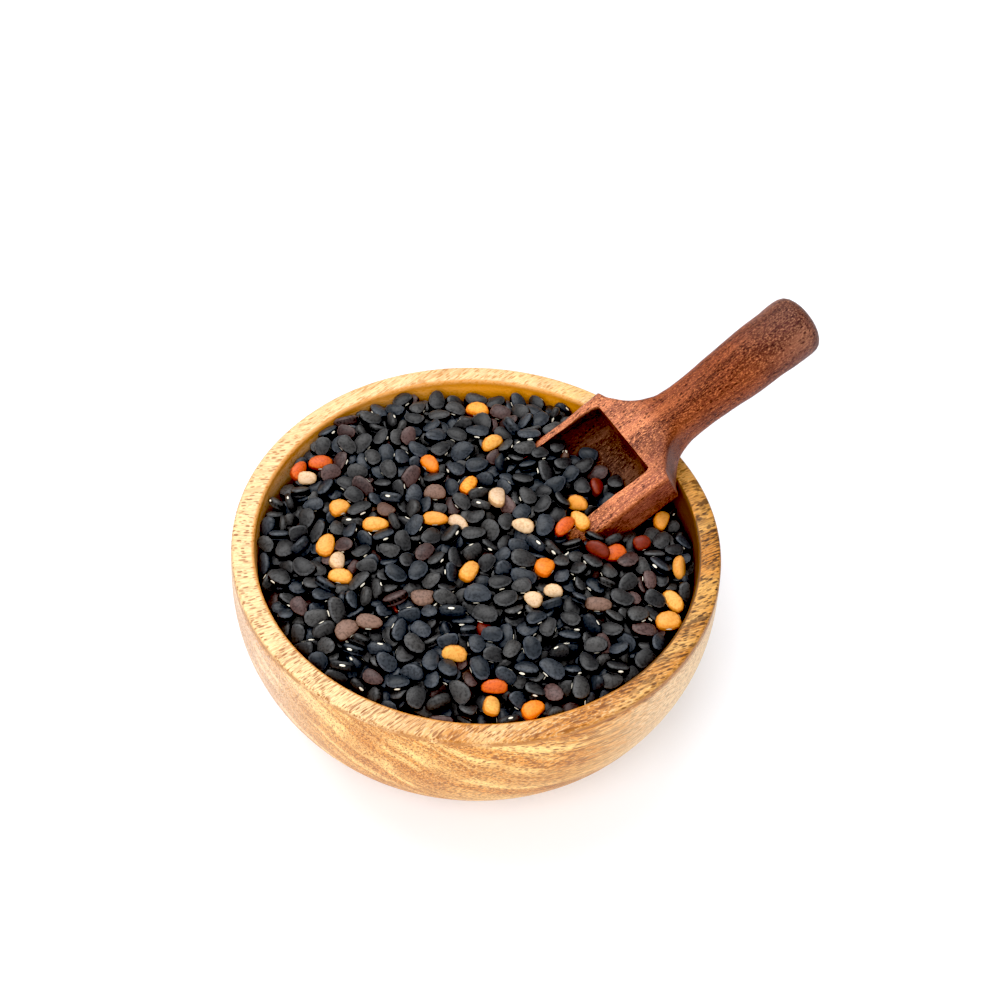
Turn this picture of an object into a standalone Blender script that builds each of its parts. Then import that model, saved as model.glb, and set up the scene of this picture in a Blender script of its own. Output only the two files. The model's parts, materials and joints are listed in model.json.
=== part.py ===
"""Small turned wooden bowl heaped with dry beans, with a carved wooden scoop pushed into them.

Units are metres and +Z is up. The origin is the centre of the bowl's flat foot.
The scoop's handle points away from the front, up and to the right.
"""
import math
import random

import bmesh
import bpy
from mathutils import Euler, Matrix, Vector
from mathutils.bvhtree import BVHTree

# Bowl
RIM_R = 0.0550
BODY_R = 0.05535
FOOT_R = 0.0260
BOWL_H = 0.0450
WIDEST_Z = 0.0360
MOUTH_R = 0.0498
WELL_R = 0.0493
FLOOR_R = 0.0220
FLOOR_Z = 0.0060
EDGE_ROUND = 0.0007
BOWL_STEPS = 52

# Heap of beans
GAP = 0.0003
EDGE_LEVEL = BOWL_H - 0.0054
TOP_LEVEL = BOWL_H + 0.0016
HEAP_R = 0.0490
CORE_SINK = 0.0009
MOUND_AT = (0.018, 0.015)
MOUND_RISE = 0.0012
MOUND_SPREAD = 0.009
DIP_AT = (0.038, 0.011)
DIP_DEPTH = 0.0028
DIP_SPREAD = 0.007
HEAP_STEPS = 32
HEAP_RINGS = 7

# One bean, as half sizes
BEAN_HALF = (0.00285, 0.00215, 0.00155)
BEAN_SPACING = 0.0047
BEAN_TRIES = 9000
BEAN_SEED = 11

# Scoop: x runs from the buried lip to the end of the handle, z is up out of the tray
SCOOP_AT = (0.0332, 0.0252, BOWL_H + 0.0114)
SCOOP_HEADING = math.radians(33.1)
SCOOP_RISE = math.radians(26.5)
SCOOP_ROLL = math.radians(2.5)
TRAY_HALF = 0.0148
TRAY_LENGTH = 0.0330
TRAY_H = 0.0118
HOLLOW_HALF = 0.0109
HOLLOW_SHIFT = 0.0006
HOLLOW_DEPTH = 0.0086
BACK_WALL = 0.0018
HANDLE_LENGTH = 0.0490
HANDLE_AXIS = -0.0062
NECK_HALF = 0.0060
GRIP_HALF = 0.0076
SECTION_POINTS = 24


def clear_scene():
    for obj in list(bpy.data.objects):
        bpy.data.objects.remove(obj, do_unlink=True)


def new_collection(name):
    collection = bpy.data.collections.new(name)
    bpy.context.scene.collection.children.link(collection)
    return collection


def make_material(name, colour, roughness):
    material = bpy.data.materials.new(name)
    material.use_nodes = True
    shader = material.node_tree.nodes["Principled BSDF"]
    shader.inputs["Base Color"].default_value = (*colour, 1.0)
    shader.inputs["Roughness"].default_value = roughness
    shader.inputs["Metallic"].default_value = 0.0
    return material


def add_object(name, mesh, collection):
    obj = bpy.data.objects.new(name, mesh)
    collection.objects.link(obj)
    return obj


def apply_modifiers(obj):
    """Keep the evaluated shape as the object's own mesh."""
    graph = bpy.context.evaluated_depsgraph_get()
    shaped = bpy.data.meshes.new_from_object(obj.evaluated_get(graph))
    obj.modifiers.clear()
    obj.data = shaped


def shade(obj, angle=35.0):
    obj.data.shade_smooth()
    obj.data.set_sharp_from_angle(angle=math.radians(angle))


def turned(name, profile, steps, collection):
    """Turn a profile of (radius, height) points about +Z."""
    mesh = bpy.data.meshes.new(name)
    points = [(radius, 0.0, height) for radius, height in profile]
    edges = [(i, i + 1) for i in range(len(points) - 1)]
    mesh.from_pydata(points, edges, [])
    obj = add_object(name, mesh, collection)
    screw = obj.modifiers.new("turn", "SCREW")
    screw.axis = "Z"
    screw.steps = steps
    screw.render_steps = steps
    screw.use_merge_vertices = True
    screw.merge_threshold = 0.00001
    screw.use_normal_calculate = True
    apply_modifiers(obj)
    shade(obj)
    return obj


def well_profile(gap, count):
    """The bowl's inner side from the middle of its floor up to the widest level."""
    points = [(0.0, FLOOR_Z + gap)]
    for i in range(count + 1):
        angle = math.pi / 2 * i / count
        radius = FLOOR_R + (WELL_R - gap - FLOOR_R) * math.sin(angle)
        height = WIDEST_Z - (WIDEST_Z - FLOOR_Z - gap) * math.cos(angle)
        points.append((radius, height))
    return points


def wall_radius(height):
    """Inner radius of the bowl above its widest level."""
    share = (height - WIDEST_Z) / (BOWL_H - WIDEST_Z)
    return WELL_R + (MOUTH_R - WELL_R) * max(share, 0.0) ** 2


def bowl_profile():
    points = well_profile(0.0, 8)
    points.append((wall_radius(0.041), 0.041))
    points.append((MOUTH_R, BOWL_H - EDGE_ROUND))
    points.append((MOUTH_R + EDGE_ROUND, BOWL_H))
    points.append((RIM_R - EDGE_ROUND, BOWL_H))
    points.append((RIM_R, BOWL_H - EDGE_ROUND))
    points.append(((RIM_R + BODY_R) / 2, 0.041))
    steps = 10
    for i in range(steps + 1):
        angle = math.pi / 2 * i / steps
        radius = FOOT_R + (BODY_R - FOOT_R) * math.cos(angle)
        height = WIDEST_Z - WIDEST_Z * math.sin(angle)
        points.append((radius, height))
    points.append((0.0, 0.0))
    return points


def bump(x, y, centre, spread):
    away = (x - centre[0]) ** 2 + (y - centre[1]) ** 2
    return math.exp(-away / (2 * spread ** 2))


def heap_height(x, y):
    """Level of the middle of the top layer of beans."""
    share = min(math.hypot(x, y) / HEAP_R, 1.0)
    level = TOP_LEVEL - (TOP_LEVEL - EDGE_LEVEL) * share ** 3
    level += MOUND_RISE * bump(x, y, MOUND_AT, MOUND_SPREAD)
    level -= DIP_DEPTH * bump(x, y, DIP_AT, DIP_SPREAD)
    return level


def heap_core(collection):
    """The heap under its top layer: the bowl's inside, closed by a low uneven dome."""
    edge_z = EDGE_LEVEL - CORE_SINK
    edge_r = wall_radius(edge_z) - GAP
    profile = [(0.0, TOP_LEVEL)]
    for ring in range(1, HEAP_RINGS + 1):
        profile.append((edge_r * ring / HEAP_RINGS, edge_z))
    profile += list(reversed(well_profile(GAP, 7)))
    core = turned("beans", profile, HEAP_STEPS, collection)
    for vertex in core.data.vertices:
        if vertex.co.z > edge_z - 0.00001:
            vertex.co.z = heap_height(vertex.co.x, vertex.co.y) - CORE_SINK
    return core


def section(half_width, top, bottom, power, shift=0.0):
    """Closed ring of (y, z): a rounded box for a high power, an ellipse for 2."""
    middle = (top + bottom) / 2
    half_height = (top - bottom) / 2
    ring = []
    for i in range(SECTION_POINTS):
        angle = 2 * math.pi * (i + 0.5) / SECTION_POINTS
        c = math.cos(angle)
        s = math.sin(angle)
        y = math.copysign(abs(c) ** (2 / power), c) * half_width + shift
        z = math.copysign(abs(s) ** (2 / power), s) * half_height + middle
        ring.append((y, z))
    return ring


def trough_section(half_width, depth, lift, power, shift):
    """Closed ring of (y, z): a rounded trough open upwards as far as the lift."""
    ring = [(shift + half_width, lift)]
    count = 12
    for i in range(count + 1):
        angle = math.pi * i / count
        c = math.cos(angle)
        y = math.copysign(abs(c) ** (2 / power), c) * half_width + shift
        z = -(math.sin(angle) ** (2 / power)) * depth
        ring.append((y, z))
    ring.append((shift - half_width, lift))
    return ring


def loft(name, stations, collection):
    """Skin a list of (x, ring) stations into one closed body."""
    bm = bmesh.new()
    rings = []
    for x, ring in stations:
        rings.append([bm.verts.new((x, y, z)) for y, z in ring])
    for near, far in zip(rings, rings[1:]):
        count = len(near)
        for i in range(count):
            j = (i + 1) % count
            bm.faces.new((near[i], far[i], far[j], near[j]))
    bm.faces.new(rings[0])
    bm.faces.new(list(reversed(rings[-1])))
    bmesh.ops.recalc_face_normals(bm, faces=bm.faces)
    mesh = bpy.data.meshes.new(name)
    bm.to_mesh(mesh)
    bm.free()
    return add_object(name, mesh, collection)


def cut(target, cutter):
    boolean = target.modifiers.new("cut", "BOOLEAN")
    boolean.operation = "DIFFERENCE"
    boolean.solver = "EXACT"
    boolean.object = cutter
    apply_modifiers(target)
    bpy.data.objects.remove(cutter, do_unlink=True)


def scoop_stations(grow):
    """Outer shape: boxy tray, hollow-sided shoulders, then a round flared handle."""
    low = -TRAY_H - grow
    tray = TRAY_HALF + grow
    stations = []
    stations.append((-TRAY_LENGTH - grow, section(tray - 0.0014, -0.0052 + grow, low + 0.0010, 9)))
    stations.append((-0.0270, section(tray - 0.0006, -0.0014 + grow, low + 0.0004, 9)))
    stations.append((-0.0210, section(tray - 0.0002, grow, low, 9)))
    stations.append((grow, section(tray, grow, low, 9)))
    for x, half, power in (
        (0.0010, 0.0126, 9),
        (0.0022, 0.0110, 8),
        (0.0037, 0.0093, 7),
        (0.0055, 0.0077, 6),
        (0.0078, 0.0067, 4.5),
        (0.0110, NECK_HALF, 3),
    ):
        share = x / 0.0110
        top = grow - 0.0001 * share
        bottom = low - 0.0004 * share
        stations.append((x + grow, section(half + grow, top, bottom, power)))
    for step in range(1, 7):
        share = step / 6
        x = 0.0110 + (0.0450 - 0.0110) * share
        half = NECK_HALF + (GRIP_HALF - NECK_HALF) * share ** 1.1 + grow
        high = HANDLE_AXIS + half * 0.96
        deep = HANDLE_AXIS - half * 0.96
        stations.append((x, section(half, high, deep, 2 + 0.5 * (1 - share))))
    for angle in (30, 55, 75):
        turn = math.radians(angle)
        x = 0.0450 + (HANDLE_LENGTH - 0.0450) * math.sin(turn)
        half = GRIP_HALF * math.cos(turn) ** 0.6 + grow
        stations.append((x, section(half, HANDLE_AXIS + half, HANDLE_AXIS - half, 2)))
    return stations


def hollow_stations(shrink):
    """The tray's hollow, deepest at mid length and open at the lip."""
    half = HOLLOW_HALF - shrink
    deep = HOLLOW_DEPTH - shrink
    lift = 0.0040
    stations = []
    for x, share in ((0.0, 0.86), (0.0009, 0.96), (0.0035, 1.0), (0.0190, 1.0), (0.0360, 0.97)):
        ring = trough_section(half, deep * share, lift, 3.4, HOLLOW_SHIFT)
        stations.append((-BACK_WALL - shrink - x, ring))
    return list(reversed(stations))


def make_scoop(name, grow, collection, cutters):
    """The whole scoop in place, swollen on every face by the given amount."""
    body = loft(name, scoop_stations(grow), collection)
    hollow = loft(name + "_hollow", hollow_stations(grow), cutters)
    hollow.hide_render = True
    hollow.display_type = "WIRE"
    cut(body, hollow)
    body.location = SCOOP_AT
    body.rotation_euler = (SCOOP_ROLL, -SCOOP_RISE, SCOOP_HEADING)
    bpy.context.view_layer.update()
    return body


def bean_mesh(name, half, bend):
    """One bean: a flat oval with few sides, a little hollow on one long side."""
    bm = bmesh.new()
    bmesh.ops.create_icosphere(bm, subdivisions=1, radius=1.13)
    for vertex in bm.verts:
        x, y, z = vertex.co
        y += bend * (x * x - 0.4)
        vertex.co = (x * half[0], y * half[1], z * half[2])
    mesh = bpy.data.meshes.new(name)
    bm.to_mesh(mesh)
    bm.free()
    return mesh


def world_tree(obj):
    bm = bmesh.new()
    bm.from_mesh(obj.data)
    bm.transform(obj.matrix_world)
    tree = BVHTree.FromBMesh(bm)
    bm.free()
    return tree


def is_clear(points, faces, trees):
    """True when the bean crosses neither solid and keeps the gap to both."""
    bean = BVHTree.FromPolygons(points, faces)
    for tree in trees:
        if tree.overlap(bean):
            return False
        for point in points:
            place, normal, _, distance = tree.find_nearest(point)
            if distance < GAP or (point - place).dot(normal) < 0:
                return False
    return True


def bean_matrix(x, y, lift, turn):
    place = Vector((x, y, heap_height(x, y) + lift))
    return Matrix.Translation(place) @ turn.to_matrix().to_4x4()


def scatter_beans(bowl, scoop, collection):
    """Top layer: beans at a seeded spacing, each clear of the bowl and the scoop."""
    rng = random.Random(BEAN_SEED)
    trees = (world_tree(bowl), world_tree(scoop))
    placed = []
    for _ in range(BEAN_TRIES):
        angle = rng.uniform(0, 2 * math.pi)
        radius = (HEAP_R - 0.0012) * math.sqrt(rng.random())
        x = radius * math.cos(angle)
        y = radius * math.sin(angle)
        if any(math.hypot(x - px, y - py) < BEAN_SPACING for px, py in placed):
            continue
        size = rng.uniform(0.86, 1.12)
        half = [axis * size for axis in BEAN_HALF]
        half[0] *= rng.uniform(0.9, 1.1)
        tilt = (rng.gauss(0, 0.32), rng.gauss(0, 0.28), rng.uniform(0, 2 * math.pi))
        turn = Euler(tilt)
        lift = rng.uniform(-0.0003, 0.0006)
        mesh = bean_mesh("bean", half, rng.uniform(0.0, 0.25))
        faces = [tuple(face.vertices) for face in mesh.polygons]
        pull = 1.0
        for _ in range(4):
            matrix = bean_matrix(x * pull, y * pull, lift, turn)
            points = [matrix @ (vertex.co * 1.08) for vertex in mesh.vertices]
            if is_clear(points, faces, trees):
                bean = add_object("bean", mesh, collection)
                bean.matrix_world = matrix
                placed.append((x * pull, y * pull))
                break
            pull -= 0.012
    return len(placed)


def drop_loose(obj):
    """Remove a bean that lies beside the core without meeting it."""
    bm = bmesh.new()
    bm.from_mesh(obj.data)
    left = set(bm.verts)
    groups = []
    while left:
        stack = [left.pop()]
        group = list(stack)
        while stack:
            for edge in stack.pop().link_edges:
                for vertex in edge.verts:
                    if vertex in left:
                        left.remove(vertex)
                        stack.append(vertex)
                        group.append(vertex)
        groups.append(group)
    groups.sort(key=len)
    for group in groups[:-1]:
        bmesh.ops.delete(bm, geom=group, context="VERTS")
    bm.to_mesh(obj.data)
    bm.free()


def join_all(core, collection):
    boolean = core.modifiers.new("join", "BOOLEAN")
    boolean.operation = "UNION"
    boolean.solver = "EXACT"
    boolean.operand_type = "COLLECTION"
    boolean.collection = collection
    apply_modifiers(core)
    for obj in list(collection.objects):
        bpy.data.objects.remove(obj, do_unlink=True)
    drop_loose(core)


def main():
    clear_scene()
    parts = new_collection("bowl_of_beans")
    cutters = new_collection("cutters")
    grains = new_collection("grains")

    bowl = turned("bowl", bowl_profile(), BOWL_STEPS, parts)
    scoop = make_scoop("scoop", 0.0, parts, cutters)
    shade(scoop)

    beans = heap_core(parts)
    swollen = make_scoop("scoop_room", GAP, cutters, cutters)
    cut(beans, swollen)
    scatter_beans(bowl, scoop, grains)
    bpy.context.view_layer.update()
    join_all(beans, grains)
    shade(beans, 60.0)

    bowl.data.materials.clear()
    bowl.data.materials.append(make_material("bowl_wood", (0.56, 0.35, 0.15), 0.5))
    scoop.data.materials.clear()
    scoop.data.materials.append(make_material("scoop_wood", (0.20, 0.055, 0.028), 0.45))
    beans.data.materials.clear()
    beans.data.materials.append(make_material("bean_skin", (0.017, 0.018, 0.021), 0.4))


main()
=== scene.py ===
"""Looks of a turned wooden bowl heaped with dry beans, with a carved scoop pushed into them.

Sizes are in metres and +Z is up, but the heap, the scoop's sections and the grain are worked out
in mm. The origin is the centre of the bowl's flat foot, and the picture is taken from -Y. The
beans are laid one by one on a height map of the heap, so each rests on the ones below it, on the
bowl or on the scoop.
"""
import json
import math
from typing import NamedTuple

import bmesh
import bpy
import numpy as np
from bpy.props import FloatProperty, FloatVectorProperty, IntProperty, PointerProperty
from mathutils import Euler, Matrix, Vector, noise
from mathutils.bvhtree import BVHTree

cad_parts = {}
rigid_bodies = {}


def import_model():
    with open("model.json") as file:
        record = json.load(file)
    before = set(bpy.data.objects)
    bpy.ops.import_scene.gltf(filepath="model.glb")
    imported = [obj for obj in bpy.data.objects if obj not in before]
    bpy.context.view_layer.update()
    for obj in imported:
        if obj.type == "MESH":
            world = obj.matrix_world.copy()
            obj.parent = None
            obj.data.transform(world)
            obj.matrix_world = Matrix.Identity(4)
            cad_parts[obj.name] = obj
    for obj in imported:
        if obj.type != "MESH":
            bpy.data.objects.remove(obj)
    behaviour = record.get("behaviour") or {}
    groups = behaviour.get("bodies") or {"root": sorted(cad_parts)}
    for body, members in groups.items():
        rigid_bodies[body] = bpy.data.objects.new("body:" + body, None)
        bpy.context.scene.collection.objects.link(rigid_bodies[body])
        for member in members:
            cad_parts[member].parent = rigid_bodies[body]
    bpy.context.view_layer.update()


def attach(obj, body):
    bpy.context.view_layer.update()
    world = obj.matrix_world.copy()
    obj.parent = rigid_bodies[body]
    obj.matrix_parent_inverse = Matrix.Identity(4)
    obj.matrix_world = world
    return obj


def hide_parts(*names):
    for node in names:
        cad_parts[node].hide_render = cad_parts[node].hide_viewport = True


bl_info = {
    "name": "Bowl of beans",
    "version": (1, 0, 0),
    "blender": (4, 5, 0),
    "location": "View3D > Sidebar > Beans",
    "description": "Dresses a packed bowl of dry beans with its wood, its beans and its scoop",
    "category": "Object",
}

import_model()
MM = 0.001
PICTURE = 1000


# Settings


def length(name, description, default):
    return FloatProperty(name=name, description=description, default=default, unit="LENGTH")


def turning(name, description, degrees):
    return FloatProperty(name=name, description=description, default=math.radians(degrees), unit="ROTATION")


def colour(name, description, default):
    return FloatVectorProperty(name=name, description=description, default=default, subtype="COLOR")


class BowlSettings(bpy.types.PropertyGroup):
    """Sizes and colours of the turned bowl."""

    height: length("Height", "Foot to rim", 0.045)
    rim_radius: length("Rim radius", "Outer edge of the rim", 0.055)
    body_radius: length("Body radius", "Widest place", 0.05535)
    foot_radius: length("Foot radius", "Flat foot", 0.026)
    widest: length("Widest height", "Height of the widest place", 0.036)
    mouth_radius: length("Mouth radius", "Inner edge of the rim", 0.0498)
    well_radius: length("Well radius", "Inside at the widest height", 0.0493)
    floor_radius: length("Floor radius", "Flat floor inside", 0.022)
    floor: length("Floor", "Thickness under the well", 0.006)
    edge_round: length("Edge round", "Rounding of the rim's edges", 0.0008)
    pale: colour("Pale wood", "Early wood", (0.88, 0.58, 0.285))
    honey: colour("Honey wood", "Late wood", (0.63, 0.265, 0.055))
    amber: colour("Amber wood", "Patches", (0.50, 0.188, 0.030))
    fleck: colour("Fleck", "Palest fibres", (0.93, 0.74, 0.45))
    line: colour("Stroke", "Strokes and pores", (0.24, 0.078, 0.016))
    pale_line: colour("Pale stroke", "Strokes at -X", (0.28, 0.083, 0.014))
    toasted: colour("Toasted wood", "Early wood at +X", (0.54, 0.250, 0.046))
    toasted_deep: colour("Toasted late wood", "Late wood at +X", (0.36, 0.145, 0.023))
    toasted_line: colour("Toasted stroke", "Strokes at +X", (0.042, 0.015, 0.007))
    # Painted reflection: pale colour streaked over the bowl's sides for the sheen of the white surroundings
    side_sheen: colour("Bleached wood", "Pale sides", (0.86, 0.66, 0.47))
    gold: colour("Gold", "Oiled wood inside", (1.0, 0.385, 0.035))


class ScoopSettings(bpy.types.PropertyGroup):
    """Place, sizes and colours of the carved scoop."""

    place: FloatVectorProperty(
        name="Place",
        description="Middle of the tray's back edge",
        default=(0.0332, 0.0252, 0.0564),
        subtype="XYZ",
    )
    heading: turning("Heading", "Turn of the handle from +X", 33.1)
    rise: turning("Rise", "Slope of the handle", 26.5)
    roll: turning("Roll", "Turn about the handle", 2.5)
    tray_length: length("Tray length", "Back edge to lip", 0.033)
    hollow_half: length("Hollow", "Half width of the hollow", 0.0109)
    hollow_depth: length("Hollow depth", "Depth of the hollow", 0.0086)
    base: colour("Base", "Reddish brown wood", (0.192, 0.051, 0.027))
    bright: colour("Bright wood", "Orange red wood", (0.30, 0.083, 0.035))
    shade: colour("Shade", "Darker patches", (0.075, 0.018, 0.010))
    fleck: colour("Fleck", "Bright fibres", (0.56, 0.172, 0.064))
    dark: colour("Dark pore", "Dark pores", (0.024, 0.008, 0.007))


class BeanSettings(bpy.types.PropertyGroup):
    """Sizes of the usual bean, and the first of the two tones of each kind's skin."""

    half_length: length("Half length", "Half of a bean's length", 0.00274)
    half_width: length("Half width", "Half of its width", 0.00193)
    half_thickness: length("Half thickness", "Half of its thickness", 0.00110)
    seed: IntProperty(name="Seed", description="Seed of the heap", default=4)
    coal: colour("Coal", "Neutral black skin", (0.030, 0.030, 0.0315))
    slate: colour("Slate", "Bluish black skin", (0.026, 0.030, 0.036))
    umber: colour("Umber", "Dark brown skin", (0.056, 0.037, 0.036))
    russet: colour("Russet", "Dull brown skin", (0.125, 0.070, 0.054))
    orange: colour("Orange", "Orange skin", (0.82, 0.22, 0.032))
    tan: colour("Tan", "Tan skin", (0.76, 0.31, 0.064))
    cream: colour("Cream", "Cream skin", (0.70, 0.49, 0.33))
    coral: colour("Coral", "Orange red skin", (0.62, 0.125, 0.028))
    brick: colour("Brick", "Dark red skin", (0.19, 0.030, 0.018))
    eye: colour("Eye", "Pale eye of a bean", (0.92, 0.86, 0.72))


class StageSettings(bpy.types.PropertyGroup):
    """Camera, floor and light."""

    distance: length("Distance", "Camera to the rim's middle", 0.430)
    elevation: turning("Elevation", "Camera above the table", 48.544)
    roll: turning("Camera roll", "Turn about the view", 4.199)
    focal_pixels: FloatProperty(name="Focal length", description="In pixels of the picture", default=1914.2)
    aim_x: FloatProperty(name="Aim across", description="Pixel of the rim's middle", default=477.6)
    aim_y: FloatProperty(name="Aim down", description="Pixel of the rim's middle", default=538.8)
    sky: FloatProperty(name="Sky", description="Strength of the white surroundings", default=0.44)
    glow: FloatProperty(name="Glow", description="Own light of the white floor", default=0.06)
    black: FloatProperty(name="Black level", description="Light that still counts as black", default=0.024)
    fill: FloatProperty(name="Fill", description="Power of the front light", default=4.3, unit="POWER")
    key: FloatProperty(name="Key", description="Power of the large soft light", default=5.0, unit="POWER")


# Objects and meshes


def add_object(name, data):
    obj = bpy.data.objects.new(name, data)
    bpy.context.scene.collection.objects.link(obj)
    return obj


def mesh_from(bm, name):
    """The bmesh as a plain mesh; the bmesh is freed."""
    mesh = bpy.data.meshes.new(name)
    bm.to_mesh(mesh)
    bm.free()
    return mesh


def evaluated_mesh(obj):
    """The object's shape with its modifiers, as a plain mesh."""
    graph = bpy.context.evaluated_depsgraph_get()
    return bpy.data.meshes.new_from_object(obj.evaluated_get(graph))


def finish_piece(obj, material=None):
    if material:
        obj.data.materials.clear()
        obj.data.materials.append(material)
    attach(obj, "root")


def bridge_rings(bm, rings):
    """Quads between closed rings of as many vertices each."""
    count = len(rings[0])
    for near, far in zip(rings, rings[1:]):
        for i in range(count):
            j = (i + 1) % count
            bm.faces.new((near[i], near[j], far[j], far[i]))


def close_ring(bm, ring, tip):
    """Triangles from a ring to a vertex in its middle."""
    for i, vertex in enumerate(ring):
        bm.faces.new((vertex, ring[(i + 1) % len(ring)], tip))


def turned_mesh(name, profile, steps):
    """Turn a profile of (radius, height) points about +Z."""
    line = bpy.data.meshes.new(name)
    edges = [(i, i + 1) for i in range(len(profile) - 1)]
    line.from_pydata([(radius, 0.0, height) for radius, height in profile], edges, [])
    obj = add_object(name + "_line", line)
    screw = obj.modifiers.new("turn", "SCREW")
    screw.steps = steps
    screw.render_steps = steps
    screw.use_merge_vertices = True
    screw.merge_threshold = 0.00001
    screw.use_normal_calculate = True
    mesh = evaluated_mesh(obj)
    mesh.name = name
    bpy.data.objects.remove(obj, do_unlink=True)
    return mesh


def superellipse(angle, power):
    """Point of a unit outline that is round at power 2 and nearly square at 9."""
    c = math.cos(angle)
    s = math.sin(angle)
    return math.copysign(abs(c) ** (2 / power), c), math.copysign(abs(s) ** (2 / power), s)


def smooth_curve(x, keys):
    """Smooth curve through (x, value) keys, which never overshoots them."""
    xs = np.array([key[0] for key in keys])
    ys = np.array([key[1] for key in keys])
    steps = np.diff(xs)
    slopes = np.diff(ys) / steps
    tangents = np.zeros(len(xs))
    tangents[0] = slopes[0]
    tangents[-1] = slopes[-1]
    for i in range(1, len(xs) - 1):
        if slopes[i - 1] * slopes[i] > 0:
            tangents[i] = 2 * slopes[i - 1] * slopes[i] / (slopes[i - 1] + slopes[i])
    i = int(np.clip(np.searchsorted(xs, x) - 1, 0, len(xs) - 2))
    h = steps[i]
    t = min(max((x - xs[i]) / h, 0.0), 1.0)
    a = (1 + 2 * t) * (1 - t) ** 2
    b = t * (1 - t) ** 2 * h
    c = t * t * (3 - 2 * t)
    d = t * t * (t - 1) * h
    return float(a * ys[i] + b * tangents[i] + c * ys[i + 1] + d * tangents[i + 1])


# Nodes


class Signal:
    """What comes out of a socket of a node tree; +, -, * and / with it add Math nodes."""

    def __init__(self, socket):
        self.socket = socket
        self.tree = socket.id_data

    def calc(self, operation, first, second=0.0):
        node = add_node(self.tree, "ShaderNodeMath", {0: first, 1: second}, operation=operation)
        return Signal(node.outputs[0])

    def __add__(self, other):
        return self.calc("ADD", self, other)

    def __sub__(self, other):
        return self.calc("SUBTRACT", self, other)

    def __rsub__(self, other):
        return self.calc("SUBTRACT", other, self)

    def __mul__(self, other):
        return self.calc("MULTIPLY", self, other)

    def __truediv__(self, other):
        return self.calc("DIVIDE", self, other)

    def __rtruediv__(self, other):
        return self.calc("DIVIDE", other, self)

    def __abs__(self):
        return self.calc("ABSOLUTE", self)

    def clamped(self):
        """The same value, kept between 0 and 1 by the Math node that makes it."""
        self.socket.node.use_clamp = True
        return self


def feed(node, values):
    """Set a node's inputs by name or number: a signal or socket is linked, the rest are constants."""
    for name, value in values.items():
        target = node.inputs[name]
        source = value.socket if isinstance(value, Signal) else value
        if isinstance(source, bpy.types.NodeSocket):
            node.id_data.links.new(source, target)
        elif target.type == "RGBA":
            target.default_value = (*source[:3], 1.0)
        else:
            target.default_value = source


def add_node(tree, kind, inputs=None, **settings):
    """A node with its settings and its inputs."""
    node = tree.nodes.new(kind)
    for name, value in settings.items():
        setattr(node, name, value)
    feed(node, inputs or {})
    return node


def tree_of(*values):
    return next(value.tree for value in values if isinstance(value, Signal))


def vector_calc(operation, first, second=(0.0, 0.0, 0.0)):
    node = add_node(first.tree, "ShaderNodeVectorMath", {0: first, 1: second}, operation=operation)
    return Signal(node.outputs["Value" if operation == "LENGTH" else "Vector"])


def split(vector):
    """Three numbers of a vector."""
    return [Signal(socket) for socket in add_node(vector.tree, "ShaderNodeSeparateXYZ", {0: vector}).outputs]


def joined(x, y, z=0.0):
    """Vector of three numbers."""
    return Signal(add_node(tree_of(x, y, z), "ShaderNodeCombineXYZ", {0: x, 1: y, 2: z}).outputs[0])


def object_place(tree):
    """Place on the object, in metres."""
    return Signal(add_node(tree, "ShaderNodeTexCoord").outputs["Object"])


def stored(tree, name, output="Fac"):
    """An attribute of the mesh."""
    return Signal(add_node(tree, "ShaderNodeAttribute", attribute_name=name).outputs[output])


def mix(factor, first, second, mode="MIX"):
    """Colour that goes from the first to the second as the factor goes from 0 to 1."""
    tree = tree_of(factor, first, second)
    inputs = {0: factor, 6: first, 7: second}
    return Signal(add_node(tree, "ShaderNodeMix", inputs, data_type="RGBA", blend_type=mode).outputs[2])


def ramp(value, low, high):
    """0 up to low and 1 from high on, or the other way round where high is the smaller one."""
    inputs = {"Value": value, "From Min": low, "From Max": high}
    node = add_node(value.tree, "ShaderNodeMapRange", inputs, interpolation_type="SMOOTHSTEP")
    return Signal(node.outputs["Result"])


def band_mask(value, low, high, soft):
    """1 between low and high, fading over a soft edge."""
    return ramp(value, low - soft, low + soft) * ramp(value, high + soft, high - soft)


def noise_outputs(place, scale, detail, rough):
    inputs = {"Vector": place, "Scale": scale, "Detail": detail, "Roughness": rough}
    return add_node(place.tree, "ShaderNodeTexNoise", inputs).outputs


def speckle(place, scale, detail=3.0, rough=0.5):
    """Even clouds."""
    return Signal(noise_outputs(place, scale, detail, rough)[0])


def cloud(place, stretch, detail=2.0, rough=0.5):
    """Clouds stretched along the axes: the larger a number of the stretch, the finer they are that way."""
    return speckle(vector_calc("MULTIPLY", place, stretch), 1.0, detail, rough)


def new_group(name, inputs, outputs):
    """An empty shader group with named sockets; returns its tree, its given signals and its output node."""
    tree = bpy.data.node_groups.new(name, "ShaderNodeTree")
    for label, kind, value in inputs:
        socket = tree.interface.new_socket(label, in_out="INPUT", socket_type=kind)
        if value is not None:
            socket.default_value = value
    for label, kind in outputs:
        tree.interface.new_socket(label, in_out="OUTPUT", socket_type=kind)
    given = {socket.name: Signal(socket) for socket in tree.nodes.new("NodeGroupInput").outputs}
    return tree, given, tree.nodes.new("NodeGroupOutput")


def place_group(tree, name, inputs):
    """A group in a material; returns what it puts out, by name."""
    node = tree.nodes.new("ShaderNodeGroup")
    node.node_tree = bpy.data.node_groups[name]
    feed(node, inputs)
    return {socket.name: Signal(socket) for socket in node.outputs}


def new_material(name):
    """A material with its tree and its Principled shader."""
    material = bpy.data.materials.new(name)
    material.use_nodes = True
    tree = material.node_tree
    return material, tree, tree.nodes["Principled BSDF"]


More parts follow.
